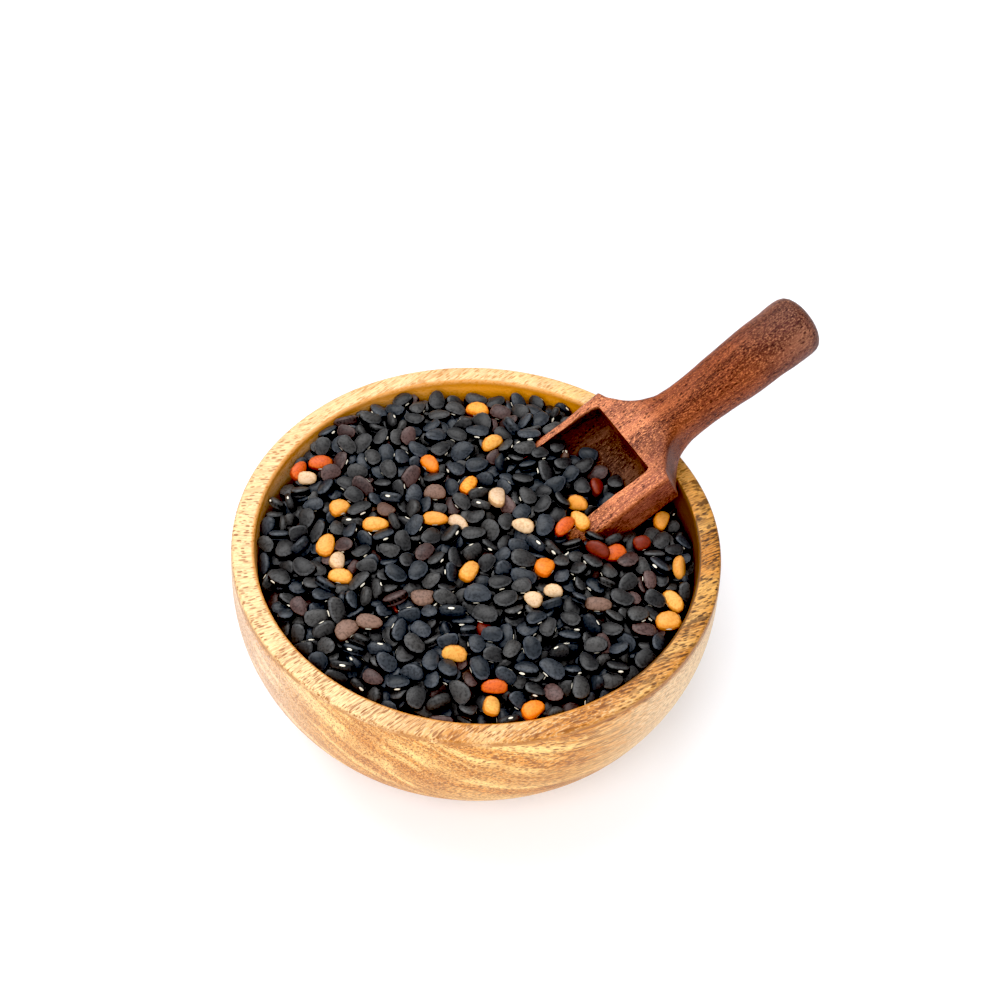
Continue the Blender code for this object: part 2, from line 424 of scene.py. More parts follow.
def finish_shader(shader, shade, surface, specular, strength, depth):
    """Colour, gloss and fine relief from a group's outputs."""
    inputs = {"Height": surface["Height"], "Strength": strength, "Distance": depth}
    bump = Signal(add_node(shader.id_data, "ShaderNodeBump", inputs).outputs[0])
    feed(
        shader,
        {
            "Base Color": shade,
            "Roughness": surface["Roughness"],
            "Specular IOR Level": specular,
            "Normal": bump,
        },
    )


# Wood

NUMBER = "NodeSocketFloat"
COLOUR = "NodeSocketColor"
VECTOR = "NodeSocketVector"
SURFACE = (("Color", COLOUR), ("Roughness", NUMBER), ("Height", NUMBER))


def wood_group():
    """Solid wood: bands of growth, patches, fibres, strokes and pores; X runs along the fibres, in mm."""
    tree, given, out = new_group(
        "wood_grain",
        (
            ("Place", VECTOR, None),
            ("Pale", COLOUR, (0.7, 0.5, 0.3, 1.0)),
            ("Deep", COLOUR, (0.5, 0.3, 0.1, 1.0)),
            ("Amber", COLOUR, (0.5, 0.3, 0.1, 1.0)),
            ("Dark", COLOUR, (0.2, 0.1, 0.05, 1.0)),
            ("Pith Y", NUMBER, 20.0),
            ("Pith Z", NUMBER, -90.0),
            ("Ring Width", NUMBER, 2.4),
            ("Wander", NUMBER, 3.0),
            ("Strokes", NUMBER, 0.6),
            ("Pore Length", NUMBER, 3.0),
            ("Pore Width", NUMBER, 0.8),
            ("Pore Share", NUMBER, 0.6),
            ("Pore Depth", NUMBER, 0.7),
            ("Fibre", NUMBER, 0.3),
            ("Fleck", COLOUR, (0.8, 0.6, 0.4, 1.0)),
            ("Flecks", NUMBER, 0.3),
            ("Fleck Size", VECTOR, (1.0, 3.5, 3.5)),
        ),
        SURFACE,
    )

    # The grain sways across its length
    slow = vector_calc("MULTIPLY", given["Place"], (0.02, 0.07, 0.07))
    sway = Signal(noise_outputs(slow, 1.0, 1.0, 0.5)["Color"])
    sway = vector_calc("SUBTRACT", sway, (0.5, 0.5, 0.5))
    sway = vector_calc("MULTIPLY", sway, joined(0.0, given["Wander"], given["Wander"]))
    place = vector_calc("ADD", given["Place"], sway)
    along, across, above = split(place)

    # Bands of growth about the pith, patches, fibres and strokes
    from_pith = joined(0.0, across - given["Pith Y"], above - given["Pith Z"])
    rings = vector_calc("LENGTH", from_pith) / given["Ring Width"]
    band = ramp(speckle(joined(along * 0.022, rings), 1.0, 3.0, 0.6), 0.40, 0.60)
    patch = ramp(cloud(place, (0.035, 0.11, 0.11)), 0.44, 0.60)
    fibre = cloud(place, (0.30, 4.2, 4.2), 3.0, 0.6)
    stroke = ramp(cloud(place, (0.10, 2.1, 2.1), 3.0, 0.62), 0.49, 0.60)
    stroke = stroke * (band * 0.7 + 0.3)
    fleck = ramp(cloud(place, given["Fleck Size"], 2.0, 0.6), 0.50, 0.64)

    # Pores sit in long cells, of which some are chosen, more of them in crowded places
    narrow = 1.0 / given["Pore Width"]
    stretched = vector_calc("MULTIPLY", place, joined(1.0 / given["Pore Length"], narrow, narrow))
    cells = add_node(tree, "ShaderNodeTexVoronoi", {"Vector": stretched, "Scale": 1.0}).outputs
    draws = add_node(tree, "ShaderNodeSeparateColor", {0: cells["Color"]}).outputs
    choice, size, depth = [Signal(socket) for socket in draws]
    crowd = ramp(cloud(place, (0.05, 0.16, 0.16), 1.0), 0.36, 0.62)
    share = given["Pore Share"] * (crowd * 0.7 + 0.5)
    chosen = choice.calc("LESS_THAN", choice, share)
    pore = ramp(Signal(cells["Distance"]) - (size * 0.20 + 0.22), 0.12, -0.06)
    pore = pore * (chosen * (depth * 0.4 + 0.6))

    shade = mix(band, given["Pale"], given["Deep"])
    shade = mix(patch * 0.65, shade, given["Amber"])
    level = (fibre - 0.5) * given["Fibre"] + 1.0
    grey = Signal(add_node(tree, "ShaderNodeCombineColor", {0: level, 1: level, 2: level}).outputs[0])
    shade = mix(1.0, shade, grey, "MULTIPLY")
    shade = mix(fleck * given["Flecks"], shade, given["Fleck"])
    shade = mix(stroke * given["Strokes"], shade, given["Dark"])
    shade = mix(pore * given["Pore Depth"], shade, given["Dark"])
    high = fibre * 0.4 - (pore + stroke * 0.3)
    feed(out, {"Color": shade, "Roughness": fibre * 0.20 + 0.34, "Height": high})


# Bowl

FRONT_RIM = (0.70, 0.360, 0.12)
FAR_RIM = (0.88, 0.54, 0.15)
# Painted reflection on the sides at +X
SIDE_SHEEN_RIGHT = (0.98, 0.71, 0.43)
# Painted shade on the rim's outer rounding, and a painted highlight along its inner edge
OUTER_EDGE_SHADE = (0.40, 0.16, 0.030)
INNER_EDGE_HIGHLIGHT = (0.66, 0.24, 0.022)
SHADED_WALL = (0.085, 0.040, 0.013)
WARM_FRONT = (1.03, 0.96, 0.68)
WARM_RIGHT = (1.06, 1.0, 0.72)


def bowl_material(bowl):
    """Oiled pale wood: cream to honey, with brown strokes and short pores, darker towards +X."""
    material, tree, shader = new_material("bowl_wood")
    here = object_place(tree)
    x, y, z = split(here)
    radius = vector_calc("LENGTH", joined(x, y))
    along, sideways, high = split(vector_calc("MULTIPLY", here, (1 / MM, 1 / MM, 1 / MM)))

    def climb(start, soft, slope):
        """Height of a line that is level before the start and then climbs."""
        offset = along - start
        bend = along.calc("SQRT", offset * offset + soft * soft)
        return (offset + bend) * (slope / 2)

    # The grain runs across the front in a long curve, and is a little denser on the rim's flat top
    curve = climb(-44.0, 8.0, 1.05) - climb(14.0, 16.0, 0.55)
    rim = ramp(high, 43.6, 44.6)
    turned = joined(along * (rim * 0.45 + 0.80), (sideways - curve) * 0.75, high + along * 0.07)

    # The wood is toasted towards +X, most on the rim and least at the front, and pale far off
    drift = (speckle(here, 45.0, 2.0) - 0.5) * 0.05
    right = ramp(x + drift, 0.018, 0.050)
    right = right * (ramp(high, 43.0, 44.6) * 0.72 + 0.28)
    right = right * (ramp(sideways, -48.0, -22.0) * 0.60 + 0.40)
    far = ramp(sideways, 5.0, 40.0) * 0.80
    light = along.calc("MAXIMUM", far, ramp(along, 0.0, -24.0) * rim * 0.92)
    front = ramp(sideways, -34.0, -50.0) * rim * ramp(along, -30.0, 0.0)
    pale = mix(front * 0.75, bowl.pale, FRONT_RIM)
    pale = mix(far * ramp(along, 0.0, 25.0), pale, FAR_RIM)
    pale = mix(right * 0.75, pale, bowl.toasted)
    deep = mix(light, bowl.honey, bowl.pale)
    deep = mix(right * 0.75, deep, bowl.toasted_deep)
    dark = mix(ramp(along, -40.0, 8.0), bowl.pale_line, bowl.line)
    dark = mix(right, dark, bowl.toasted_line)
    wood = place_group(
        tree,
        "wood_grain",
        {
            "Place": turned,
            "Pale": pale,
            "Deep": deep,
            "Amber": mix(light, bowl.amber, bowl.pale),
            "Dark": mix(far, dark, bowl.honey),
            "Pith Y": 0.0,
            "Pith Z": -60.0,
            "Ring Width": 3.0,
            "Wander": 5.0,
            "Strokes": right * 0.15 + 0.85 - far * 0.40,
            "Pore Length": 2.0,
            "Pore Width": 0.50,
            "Pore Share": 1.45,
            "Pore Depth": right * 0.10 + 0.90,
            "Fibre": 1.3,
            "Fleck": bowl.fleck,
            "Flecks": 0.42 - right * 0.30,
            "Fleck Size": (0.9, 3.5, 3.5),
        },
    )

    # Dark blotches at +X, and a painted reflection on the sides: pale streaks that stand for the sheen of the
    # white surroundings
    blotch = ramp(cloud(turned, (0.22, 0.75, 0.75), 3.0, 0.6), 0.53, 0.62)
    shade = mix(blotch * right * 0.76, wood["Color"], bowl.toasted_line)
    painted_flank = ramp(abs(along), 20.0, 48.0) * ramp(high, 43.6, 42.0)
    streak = ramp(cloud(turned, (0.12, 2.4, 2.4), 3.0, 0.6), 0.40, 0.62)
    painted_flank = painted_flank * (streak * 0.55 + (ramp(along, 0.0, 30.0) * 0.28 + 0.14))
    shade = mix(painted_flank, shade, mix(ramp(along, 0.0, 30.0), bowl.side_sheen, SIDE_SHEEN_RIGHT))

    # Oiled gold inside, painted shade in a dark line along the rim's outer edge, a painted highlight along
    # its inner edge, and painted shade on the wall under the scoop
    well = stored(tree, "well")
    inside = well * ramp(z, 0.0449, 0.0438)
    shade = mix(inside * (ramp(along, -40.0, 0.0) * 0.57 + 0.35), shade, bowl.gold)
    outer_edge_shade = band_mask(z, 0.0436, 0.0447, 0.0003) * ramp(radius, 0.0535, 0.0540)
    outer_edge_shade = outer_edge_shade * ramp(speckle(here, 260.0, 3.0, 0.6), 0.30, 0.62)
    inner_edge_highlight = band_mask(radius, 0.0494, 0.0505, 0.0003) * ramp(z, 0.0428, 0.0440)
    shade = mix(outer_edge_shade * 0.85, shade, OUTER_EDGE_SHADE)
    shade = mix(inner_edge_highlight * 0.68, shade, INNER_EDGE_HIGHLIGHT)
    dim = ramp(along, 24.0, 38.0) * ramp(sideways, 42.0, 32.0)
    shade = mix(well * dim * 0.92, shade, SHADED_WALL)

    # Warmer below the rim in front, and at +X
    warm = ramp(abs(along), 44.0, 24.0) * ramp(high, 44.4, 43.4)
    warm = warm * ramp(well, 0.5, 0.1)
    shade = mix(warm, shade, WARM_FRONT, "MULTIPLY")
    shade = mix(right, shade, WARM_RIGHT, "MULTIPLY")
    finish_shader(shader, shade, wood, specular=0.5, strength=0.45, depth=0.00015)
    return material


def quarter_turn(steps):
    """Angles from 0 to a right angle."""
    return [math.pi / 2 * i / steps for i in range(steps + 1)]


def bowl_profile(bowl):
    """(radius, height) from the middle of the floor, over the rim, to the middle of the foot."""
    points = [(0.0, bowl.floor)]
    for angle in quarter_turn(30):
        radius = bowl.floor_radius + (bowl.well_radius - bowl.floor_radius) * math.sin(angle)
        points.append((radius, bowl.widest - (bowl.widest - bowl.floor) * math.cos(angle)))
    top = bowl.height
    edge = bowl.edge_round
    wall = top - edge - bowl.widest
    shares = [i / 6 for i in range(1, 6)]
    for share in shares:
        radius = bowl.well_radius + (bowl.mouth_radius - bowl.well_radius) * share ** 2
        points.append((radius, bowl.widest + wall * share))
    for angle in quarter_turn(5):
        points.append((bowl.mouth_radius + edge * (1 - math.cos(angle)), top - edge * (1 - math.sin(angle))))
    inner = bowl.mouth_radius + edge
    outer = bowl.rim_radius - edge
    crown = 0.00006
    for share in (0.25, 0.5, 0.75):
        points.append((inner + (outer - inner) * share, top + crown * math.sin(math.pi * share)))
    for angle in quarter_turn(5):
        points.append((bowl.rim_radius - edge * (1 - math.sin(angle)), top - edge * (1 - math.cos(angle))))
    for share in shares:
        radius = bowl.rim_radius + (bowl.body_radius - bowl.rim_radius) * math.sin(math.pi / 2 * share)
        points.append((radius, top - edge - wall * share))
    for angle in quarter_turn(34):
        radius = bowl.foot_radius + (bowl.body_radius - bowl.foot_radius) * math.cos(angle)
        points.append((radius, bowl.widest * (1 - math.sin(angle))))
    points.append((0.0, 0.0))
    return points


def mark_well(mesh, bowl):
    """Attribute that is 1 on the inside of the bowl, up to where the rim's rounding ends."""
    near = 0.00001
    inner = []
    for point in bowl_profile(bowl):
        inner.append(point)
        if point[1] >= bowl.height - bowl.edge_round - near:
            break
    radii = [point[0] for point in inner]
    heights = [point[1] for point in inner]
    below = bowl.floor - 0.0003
    slack = 0.0006
    well = []
    for vertex in mesh.vertices:
        limit = np.interp(vertex.co.z, heights, radii) + slack
        well.append(float(vertex.co.z > below and math.hypot(vertex.co.x, vertex.co.y) < limit))
    mesh.attributes.new("well", "FLOAT", "POINT").data.foreach_set("value", well)


class BEANBOWL_OT_turn_bowl(bpy.types.Operator):
    """Turn the wooden bowl and give it its grain"""

    bl_idname = "beanbowl.turn_bowl"
    bl_label = "Turn bowl"

    def execute(self, context):
        bowl = context.scene.bean_bowl
        mesh = turned_mesh("turned_bowl", bowl_profile(bowl), 192)
        unevenness = 0.00012
        fineness = 45.0
        foot_top = 0.002
        for vertex in mesh.vertices:
            place = vertex.co
            if place.z > foot_top:
                sway = noise.noise(place * fineness) * unevenness
                place += Vector((place.x, place.y, 0)).normalized() * sway
        mark_well(mesh, bowl)
        mesh.shade_smooth()
        piece = add_object("turned_bowl", mesh)
        finish_piece(piece, bowl_material(bowl))
        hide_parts("bowl")
        return {"FINISHED"}


# Scoop

# Stations along the scoop in mm, from its lip at -X to where the handle's round end begins: half
# width, top, bottom and squareness of the section, and the hollow's share of its full depth
HALF_KEYS = (
    (-33.0, 13.4), (-27.0, 14.2), (-21.0, 14.6), (0.0, 14.8), (1.0, 12.6), (2.2, 11.0), (3.7, 9.3),
    (5.5, 7.7), (7.8, 6.6), (11.0, 6.0), (16.7, 6.2), (22.3, 6.55), (28.0, 6.9), (33.7, 7.25),
    (39.3, 7.5), (43.5, 7.6),
)
TOP_KEYS = (
    (-33.0, -5.2), (-27.0, -1.4), (-21.0, 0.0), (0.0, 0.0), (11.0, -0.2), (16.7, -0.15), (28.0, 0.45),
    (43.5, 1.1),
)
LOW_KEYS = (
    (-33.0, -10.8), (-27.0, -11.4), (-21.0, -11.8), (0.0, -11.8), (11.0, -12.1), (16.7, -12.2), (28.0, -12.8),
    (43.5, -13.5),
)
SQUARE_KEYS = (
    (-33.0, 9.0), (1.0, 9.0), (3.7, 7.0), (5.5, 5.6), (7.8, 4.2), (11.0, 3.0), (16.7, 2.4), (28.0, 2.2),
    (43.5, 2.0),
)
DEPTH_KEYS = (
    (-36.0, 0.97), (-19.0, 1.0), (-6.0, 1.0), (-4.2, 0.985), (-3.0, 0.94), (-2.3, 0.86), (-1.95, 0.74),
    (-1.82, 0.6),
)
# The hollow is wider on its +Y side: most added there, and its share by distance from the back edge
WIDENING = 1.3
WIDENING_KEYS = ((1.8, 0.0), (9.0, 0.75), (20.0, 1.0))
TRAY_HALF = 14.8
# The handle's round end: where it begins and ends, height of its tip and squareness
DOME_START = 43.5
HANDLE_END = 49.4
HANDLE_MIDDLE = -6.2
DOME_SQUARE = 3.6
# The hollow: its back wall, its shift to +Y, squareness of its section and steps across it
BACK_WALL = -1.8
HOLLOW_SHIFT = 0.6
HOLLOW_SQUARE = 3.4
HOLLOW_STEPS = 26
# The hollow narrows by so much towards its back, over this length
HOLLOW_NARROWING = 0.5
NARROWING_LENGTH = 0.8
# Share of the width that keeps the hollow's row of points where there is no hollow
ROOF_SHARE = 0.72
# Angle in degrees on the section's outline where its upper face begins, and steps around
ROOF_ANGLE = 64
OUTLINE_STEP = 8
UNDERSIDE_STEPS = 36
SHARP_ANGLE = math.radians(48)

# Tints that the wood's colour is multiplied by: lighter on the worn top, with a painted sheen there, painted
# shade in the hollow and on its far side, painted light on the tray's outer side, and greyer towards the
# handle's end
WEAR_AND_SHEEN_TINT = (1.85, 2.35, 2.8)
HOLLOW_SHADE_TINT = (0.42, 0.60, 0.82)
FAR_SIDE_SHADE_TINT = (0.50, 0.50, 0.60)
CHEEK_LIGHT_TINT = (1.12, 1.24, 1.75)
HANDLE_END_TINT = (0.84, 1.25, 1.9)


def scoop_material(scoop):
    """Reddish brown open-grained wood with bright fibres and dark pores, with painted shade in the hollow."""
    material, tree, shader = new_material("scoop_wood")
    here = stored(tree, "carve_place", "Vector")
    wood = place_group(
        tree,
        "wood_grain",
        {
            "Place": here,
            "Pale": scoop.bright,
            "Deep": scoop.base,
            "Amber": scoop.shade,
            "Dark": scoop.dark,
            "Pith Y": 30.0,
            "Pith Z": -24.0,
            "Ring Width": 2.6,
            "Wander": 3.0,
            "Strokes": 0.5,
            "Pore Length": 1.1,
            "Pore Width": 0.42,
            "Pore Share": 0.72,
            "Pore Depth": 0.88,
            "Fibre": 1.3,
            "Fleck": scoop.fleck,
            "Flecks": 0.74,
            "Fleck Size": (1.9, 4.6, 4.6),
        },
    )
    along, across, up = split(here)
    # Painted shade in the hollow, deeper on its far side
    hollow = ramp(along, -1.6, -2.2) * ramp(abs(across - 1.25), 12.3, 11.8) * ramp(up, -0.2, -1.4)
    far_side_shade = hollow * ramp(across, 8.4, 10.4)
    # The top near the hollow's back is lighter: real wear with scuffs, and a painted sheen on that top
    scuffs = ramp(cloud(here, (0.9, 2.6, 2.6), 3.0, 0.6), 0.42, 0.58)
    worn = ramp(along, 9.0, 2.0) * ramp(up, -1.6, -0.3) * (scuffs * 0.6 + 0.75)
    # Painted light on the tray's outer side
    cheek_light = ramp(abs(across), 13.0, 14.0) * ramp(along, 6.0, 0.0) * ramp(up, -1.0, -2.6)
    # A darker blob on the right shoulder's facet: painted shade
    shoulder = vector_calc("LENGTH", vector_calc("SUBTRACT", here, (4.0, -9.5, -3.0)))
    shade = mix(ramp(shoulder, 8.0, 3.0) * 0.55, wood["Color"], scoop.shade)
    for mask, tint in (
        (worn, WEAR_AND_SHEEN_TINT),
        (hollow, HOLLOW_SHADE_TINT),
        (far_side_shade, FAR_SIDE_SHADE_TINT),
        (cheek_light, CHEEK_LIGHT_TINT),
        (ramp(along, 26.0, 46.0), HANDLE_END_TINT),
    ):
        shade = mix(mask, shade, tint, "MULTIPLY")
    finish_shader(shader, shade, wood, specular=0.12, strength=0.5, depth=0.00015)
    return material


def scoop_turn(scoop):
    """Turn of the scoop, from its own axes to the frame's."""
    return Euler((scoop.roll, -scoop.rise, scoop.heading)).to_matrix().to_4x4()


def scoop_ring(x, scoop):
    """Closed ring of (y, z) in mm: bottom and sides, then over the top and through the hollow."""
    along = min(x, DOME_START)
    half = smooth_curve(along, HALF_KEYS)
    top = smooth_curve(along, TOP_KEYS)
    low = smooth_curve(along, LOW_KEYS)
    power = smooth_curve(along, SQUARE_KEYS)
    middle = (top + low) / 2
    tall = (top - low) / 2
    if x > DOME_START:
        share = (x - DOME_START) / (HANDLE_END - DOME_START)
        shrink = max(1 - share ** DOME_SQUARE, 0.0) ** 0.5
        half *= shrink
        tall *= shrink
    hollow = x < BACK_WALL
    reach = scoop.hollow_half / MM
    deep = 0.0
    if hollow:
        deep = scoop.hollow_depth / MM * smooth_curve(x, DEPTH_KEYS)
        reach -= HOLLOW_NARROWING * math.exp((x - BACK_WALL) / NARROWING_LENGTH)
        widening = WIDENING * smooth_curve(-x, WIDENING_KEYS)
    else:
        reach = min(reach, ROOF_SHARE * half)
        widening = 0.0
    shift = HOLLOW_SHIFT * min(half / TRAY_HALF, 1.0)

    def edge(angle):
        c, s = superellipse(angle, power)
        return c * half, s * tall + middle

    def roof(y):
        inner = max(1 - abs(y / max(half, 1e-6)) ** power, 0.0)
        return middle + tall * inner ** (1 / power)

    def roof_points(start, end):
        return [(y, roof(y)) for y in np.linspace(start, end, 5)[1:-1]]

    sides = ROOF_ANGLE // OUTLINE_STEP
    ring = [edge(-math.pi * i / UNDERSIDE_STEPS) for i in range(UNDERSIDE_STEPS + 1)]
    ring += [edge(math.radians(180 - OUTLINE_STEP * i)) for i in range(1, sides + 1)]
    ring += roof_points(edge(math.radians(180 - ROOF_ANGLE))[0], shift - reach)
    for i in range(HOLLOW_STEPS + 1):
        angle = math.pi * (1 - i / HOLLOW_STEPS)
        c = superellipse(angle, HOLLOW_SQUARE)[0]
        y = c * (reach + (widening if c > 0 else 0.0)) + shift
        z = roof(y)
        if hollow:
            z = min(z, -(max(math.sin(angle), 0.0) ** (2 / HOLLOW_SQUARE)) * deep)
        ring.append((y, z))
    ring += roof_points(shift + reach + widening, edge(math.radians(ROOF_ANGLE))[0])
    ring += [edge(math.radians(ROOF_ANGLE - OUTLINE_STEP * i)) for i in range(sides)]
    return ring[:-1] if ring[-1] == ring[0] else ring


def scoop_stations(scoop):
    """Places of the rings along the scoop in mm, close together at the hollow's back and at the neck."""
    stations = list(np.linspace(-scoop.tray_length / MM, -6.0, 30))
    stations += list(np.linspace(-5.4, -2.4, 7)) + [-2.1, -1.95, -1.86, -1.82, -1.801]
    stations += [BACK_WALL, -1.4, -0.7, -0.3, 0.0, 0.15, 0.35]
    stations += list(np.linspace(0.6, 8.0, 22)) + list(np.linspace(8.8, DOME_START, 42))
    for degrees in (12, 25, 38, 50, 60, 69, 77, 83, 87):
        stations.append(DOME_START + (HANDLE_END - DOME_START) * math.sin(math.radians(degrees)))
    return stations


def hand_sway(place):
    """Unevenness left by the knife, in mm: slow waves and finer ones."""
    slow = noise.noise(place * 0.11) * 0.35, noise.noise(place * 0.11 + Vector((9, 4, 2))) * 0.3
    fine = noise.noise(place * 0.4), noise.noise(place * 0.4 + Vector((3, 7, 1)))
    return Vector((0, *slow)) + Vector((0, *fine)) * 0.09


def scoop_mesh(scoop):
    """The scoop lofted along its length, placed, with its own lengthways place kept for the grain."""
    bm = bmesh.new()
    layer = bm.verts.layers.float_vector.new("carve_place")
    rings = []
    for x in scoop_stations(scoop):
        ring = []
        for y, z in scoop_ring(x, scoop):
            place = Vector((x, y, z))
            vertex = bm.verts.new((place + hand_sway(place)) * MM)
            vertex[layer] = place
            ring.append(vertex)
        rings.append(ring)
    bridge_rings(bm, rings)
    bm.faces.new(list(reversed(rings[0])))
    end = Vector((HANDLE_END, 0, HANDLE_MIDDLE))
    tip = bm.verts.new(end * MM)
    tip[layer] = end
    close_ring(bm, rings[-1], tip)
    bmesh.ops.recalc_face_normals(bm, faces=bm.faces)
    bm.transform(Matrix.Translation(Vector(scoop.place)) @ scoop_turn(scoop))
    mesh = mesh_from(bm, "carved_scoop")
    mesh.shade_smooth()
    mesh.set_sharp_from_angle(angle=SHARP_ANGLE)
    return mesh


class BEANBOWL_OT_carve_scoop(bpy.types.Operator):
    """Carve the wooden scoop and give it its grain"""

    bl_idname = "beanbowl.carve_scoop"
    bl_label = "Carve scoop"

    def execute(self, context):
        scoop = context.scene.bean_scoop
        piece = add_object("carved_scoop", scoop_mesh(scoop))
        bevel = piece.modifiers.new("worn edges", "BEVEL")
        bevel.width = 0.0003
        bevel.segments = 2
        bevel.limit_method = "ANGLE"
        bevel.angle_limit = SHARP_ANGLE
        bevel.harden_normals = False
        piece.data = evaluated_mesh(piece)
        piece.modifiers.clear()
        finish_piece(piece, scoop_material(scoop))
        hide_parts("scoop")
        return {"FINISHED"}


# Heap

# Grid of the height map: side of a cell in mm, and cells from the bowl's axis to the grid's side
CELL = 0.25
HALF_GRID = 210
# Heights in mm of cells that take no bean: where nothing lies, and where a bean has to stay seen
NOTHING = 1000.0
GUARDED = 900.0
BLOCKED = 500.0
# Level of the top layer's middles in mm, at the wall and in the middle, and where the wall is
EDGE_LEVEL = 40.6
TOP_LEVEL = 46.6
HEAP_RADIUS = 49.0
# Height in metres from which rays look down, above all pieces
LOOKOUT = 0.12


class Swell(NamedTuple):
    """A low rise of the heap, or a dip, in mm."""

    x: float
    y: float
    rise: float
    spread: float


SWELLS = (
    Swell(18.0, 15.0, 1.2, 9.0),
    Swell(38.0, 11.0, -2.8, 7.0),
    Swell(10.0, 29.0, 2.9, 6.0),
    Swell(-26.0, 36.0, 2.4, 10.0),
    Swell(-37.0, 26.0, 2.0, 6.0),
    Swell(48.5, -2.0, 2.0, 5.5),
    Swell(16.0, 44.0, 1.8, 6.0),
)
# Depth of the dark core under the heap's level and under the scoop, and least level of the beans
# in the tray, in mm
CORE_DEPTH = 5.2
CORE_UNDER_SCOOP = 0.8
TRAY_LEVEL = 44.9
# Beans lie in the scoop's tray where it is nearer its lip and lower than this, along its axes in mm
TRAY_BACK = -3
TRAY_RIM = -2
# Share of the beans that stand on edge
ON_EDGE = 0.10
# How deep a bean sinks between those below it, in mm
SINK = 0.12
# A bean that settles shifts by up to so many cells and tilts by so much, at the end calmer by this
# share, and takes each step by which it sinks at least so far in mm
SHIFT_CELLS = 3
TILT = 0.22
CALMING = 0.7
LEAST_GAIN = 0.004
SETTLE_TRIES = 30
ON_EDGE_TRIES = 4
# How far lying beans roll and tilt at random, and how those on edge stand, in radians
LYING_ROLL = 0.25
LYING_TILT = 0.15
EDGE_ROLL = (0.8, 1.5)
EDGE_TILT = 0.2
# Places that are looked at for each bean, and how much over the top one may start, in mm
PLACES_TRIED = 40
START_SLACK = 1.5
# Cells each way over which the ground's slope is taken, fewest free cells, and steepest slope
SLOPE_REACH = 8
SLOPE_CELLS = 40
STEEPEST = 0.8


class Marked(NamedTuple):
    """A bean that stands out: its pixel across and down, its kind, the slope of its long side in the
    picture and its roll about that side in degrees, and its length and width against the usual bean."""

    kind: str
    pixel: tuple
    slope: float
    roll: float
    length: float
    width: float


MARKED = (
    Marked("orange", pixel=(478, 410), slope=-15, roll=10, length=1.05, width=1.0),
    Marked("orange", pixel=(489, 414), slope=-30, roll=15, length=0.95, width=1.0),
    Marked("tan", pixel=(491.5, 443), slope=27, roll=35, length=1.0, width=0.85),
    Marked("orange", pixel=(430.5, 464), slope=-50, roll=10, length=1.05, width=0.9),
    Marked("orange", pixel=(469, 485), slope=55, roll=10, length=1.0, width=0.85),
    Marked("cream", pixel=(497, 497), slope=88, roll=8, length=1.05, width=1.0),
    Marked("tan", pixel=(339.5, 507.5), slope=25, roll=8, length=0.9, width=1.0),
    Marked("tan", pixel=(376, 523), slope=0, roll=12, length=1.1, width=0.9),
    Marked("tan", pixel=(436, 519), slope=-6, roll=25, length=1.1, width=0.8),
    Marked("cream", pixel=(459, 524), slope=-35, roll=20, length=1.05, width=0.8),
    Marked("tan", pixel=(325.5, 545), slope=70, roll=8, length=1.1, width=1.05),
    Marked("cream", pixel=(337, 561), slope=80, roll=20, length=0.85, width=0.9),
    Marked("tan", pixel=(340, 576), slope=-6, roll=20, length=1.0, width=0.85),
    Marked("tan", pixel=(469, 572), slope=55, roll=10, length=1.05, width=0.95),
    Marked("orange", pixel=(544, 568), slope=60, roll=5, length=0.95, width=1.1),
    Marked("tan", pixel=(577, 503), slope=-15, roll=55, length=0.9, width=0.9),
    Marked("tan", pixel=(580, 521), slope=-50, roll=10, length=1.05, width=0.9),
    Marked("coral", pixel=(565, 526), slope=42, roll=15, length=1.1, width=0.85),
    Marked("brick", pixel=(596.5, 487), slope=85, roll=25, length=0.95, width=0.85),
    Marked("coral", pixel=(616, 546), slope=18, roll=10, length=1.0, width=1.05),
    Marked("brick", pixel=(600, 550), slope=-25, roll=55, length=1.1, width=0.9),
    Marked("brick", pixel=(641, 543), slope=15, roll=20, length=0.75, width=0.9),
    Marked("tan", pixel=(679, 567), slope=80, roll=60, length=1.1, width=0.95),
    Marked("tan", pixel=(673, 601), slope=-48, roll=15, length=1.1, width=0.9),
    Marked("tan", pixel=(670, 622), slope=8, roll=5, length=1.05, width=1.15),
    Marked("tan", pixel=(454, 653.5), slope=-3, roll=55, length=1.0, width=0.9),
    Marked("coral", pixel=(494, 687), slope=0, roll=40, length=1.05, width=0.8),
    Marked("tan", pixel=(492, 706), slope=84, roll=20, length=0.9, width=0.95),
    Marked("orange", pixel=(533, 710), slope=32, roll=8, length=1.0, width=1.0),
    Marked("cream", pixel=(523.5, 525), slope=-15, roll=50, length=0.95, width=0.85),
    Marked("cream", pixel=(553, 590.5), slope=-10, roll=45, length=0.8, width=0.8),
    Marked("cream", pixel=(533, 599), slope=-25, roll=35, length=0.8, width=0.9),
    Marked("coral", pixel=(321, 463), slope=6, roll=8, length=1.05, width=0.95),
    Marked("coral", pixel=(299, 471), slope=62, roll=30, length=1.0, width=0.85),
    Marked("cream", pixel=(306, 478), slope=0, roll=40, length=0.8, width=0.8),
    Marked("russet", pixel=(346, 630), slope=35, roll=5, length=1.05, width=1.1),
    Marked("russet", pixel=(369, 622), slope=-5, roll=10, length=1.1, width=0.9),
    Marked("russet", pixel=(358, 643), slope=88, roll=8, length=0.9, width=0.95),
    Marked("russet", pixel=(598, 605), slope=-5, roll=15, length=1.1, width=0.85),
    Marked("russet", pixel=(435, 493), slope=0, roll=15, length=0.95, width=1.0),
    Marked("umber", pixel=(501, 413), slope=-20, roll=15, length=1.0, width=1.0),
    Marked("umber", pixel=(424, 553), slope=45, roll=10, length=1.0, width=0.95),
)
UNDER_SCOOP = (
    Marked("tan", pixel=(661, 521), slope=62, roll=20, length=1.0, width=0.9),
)
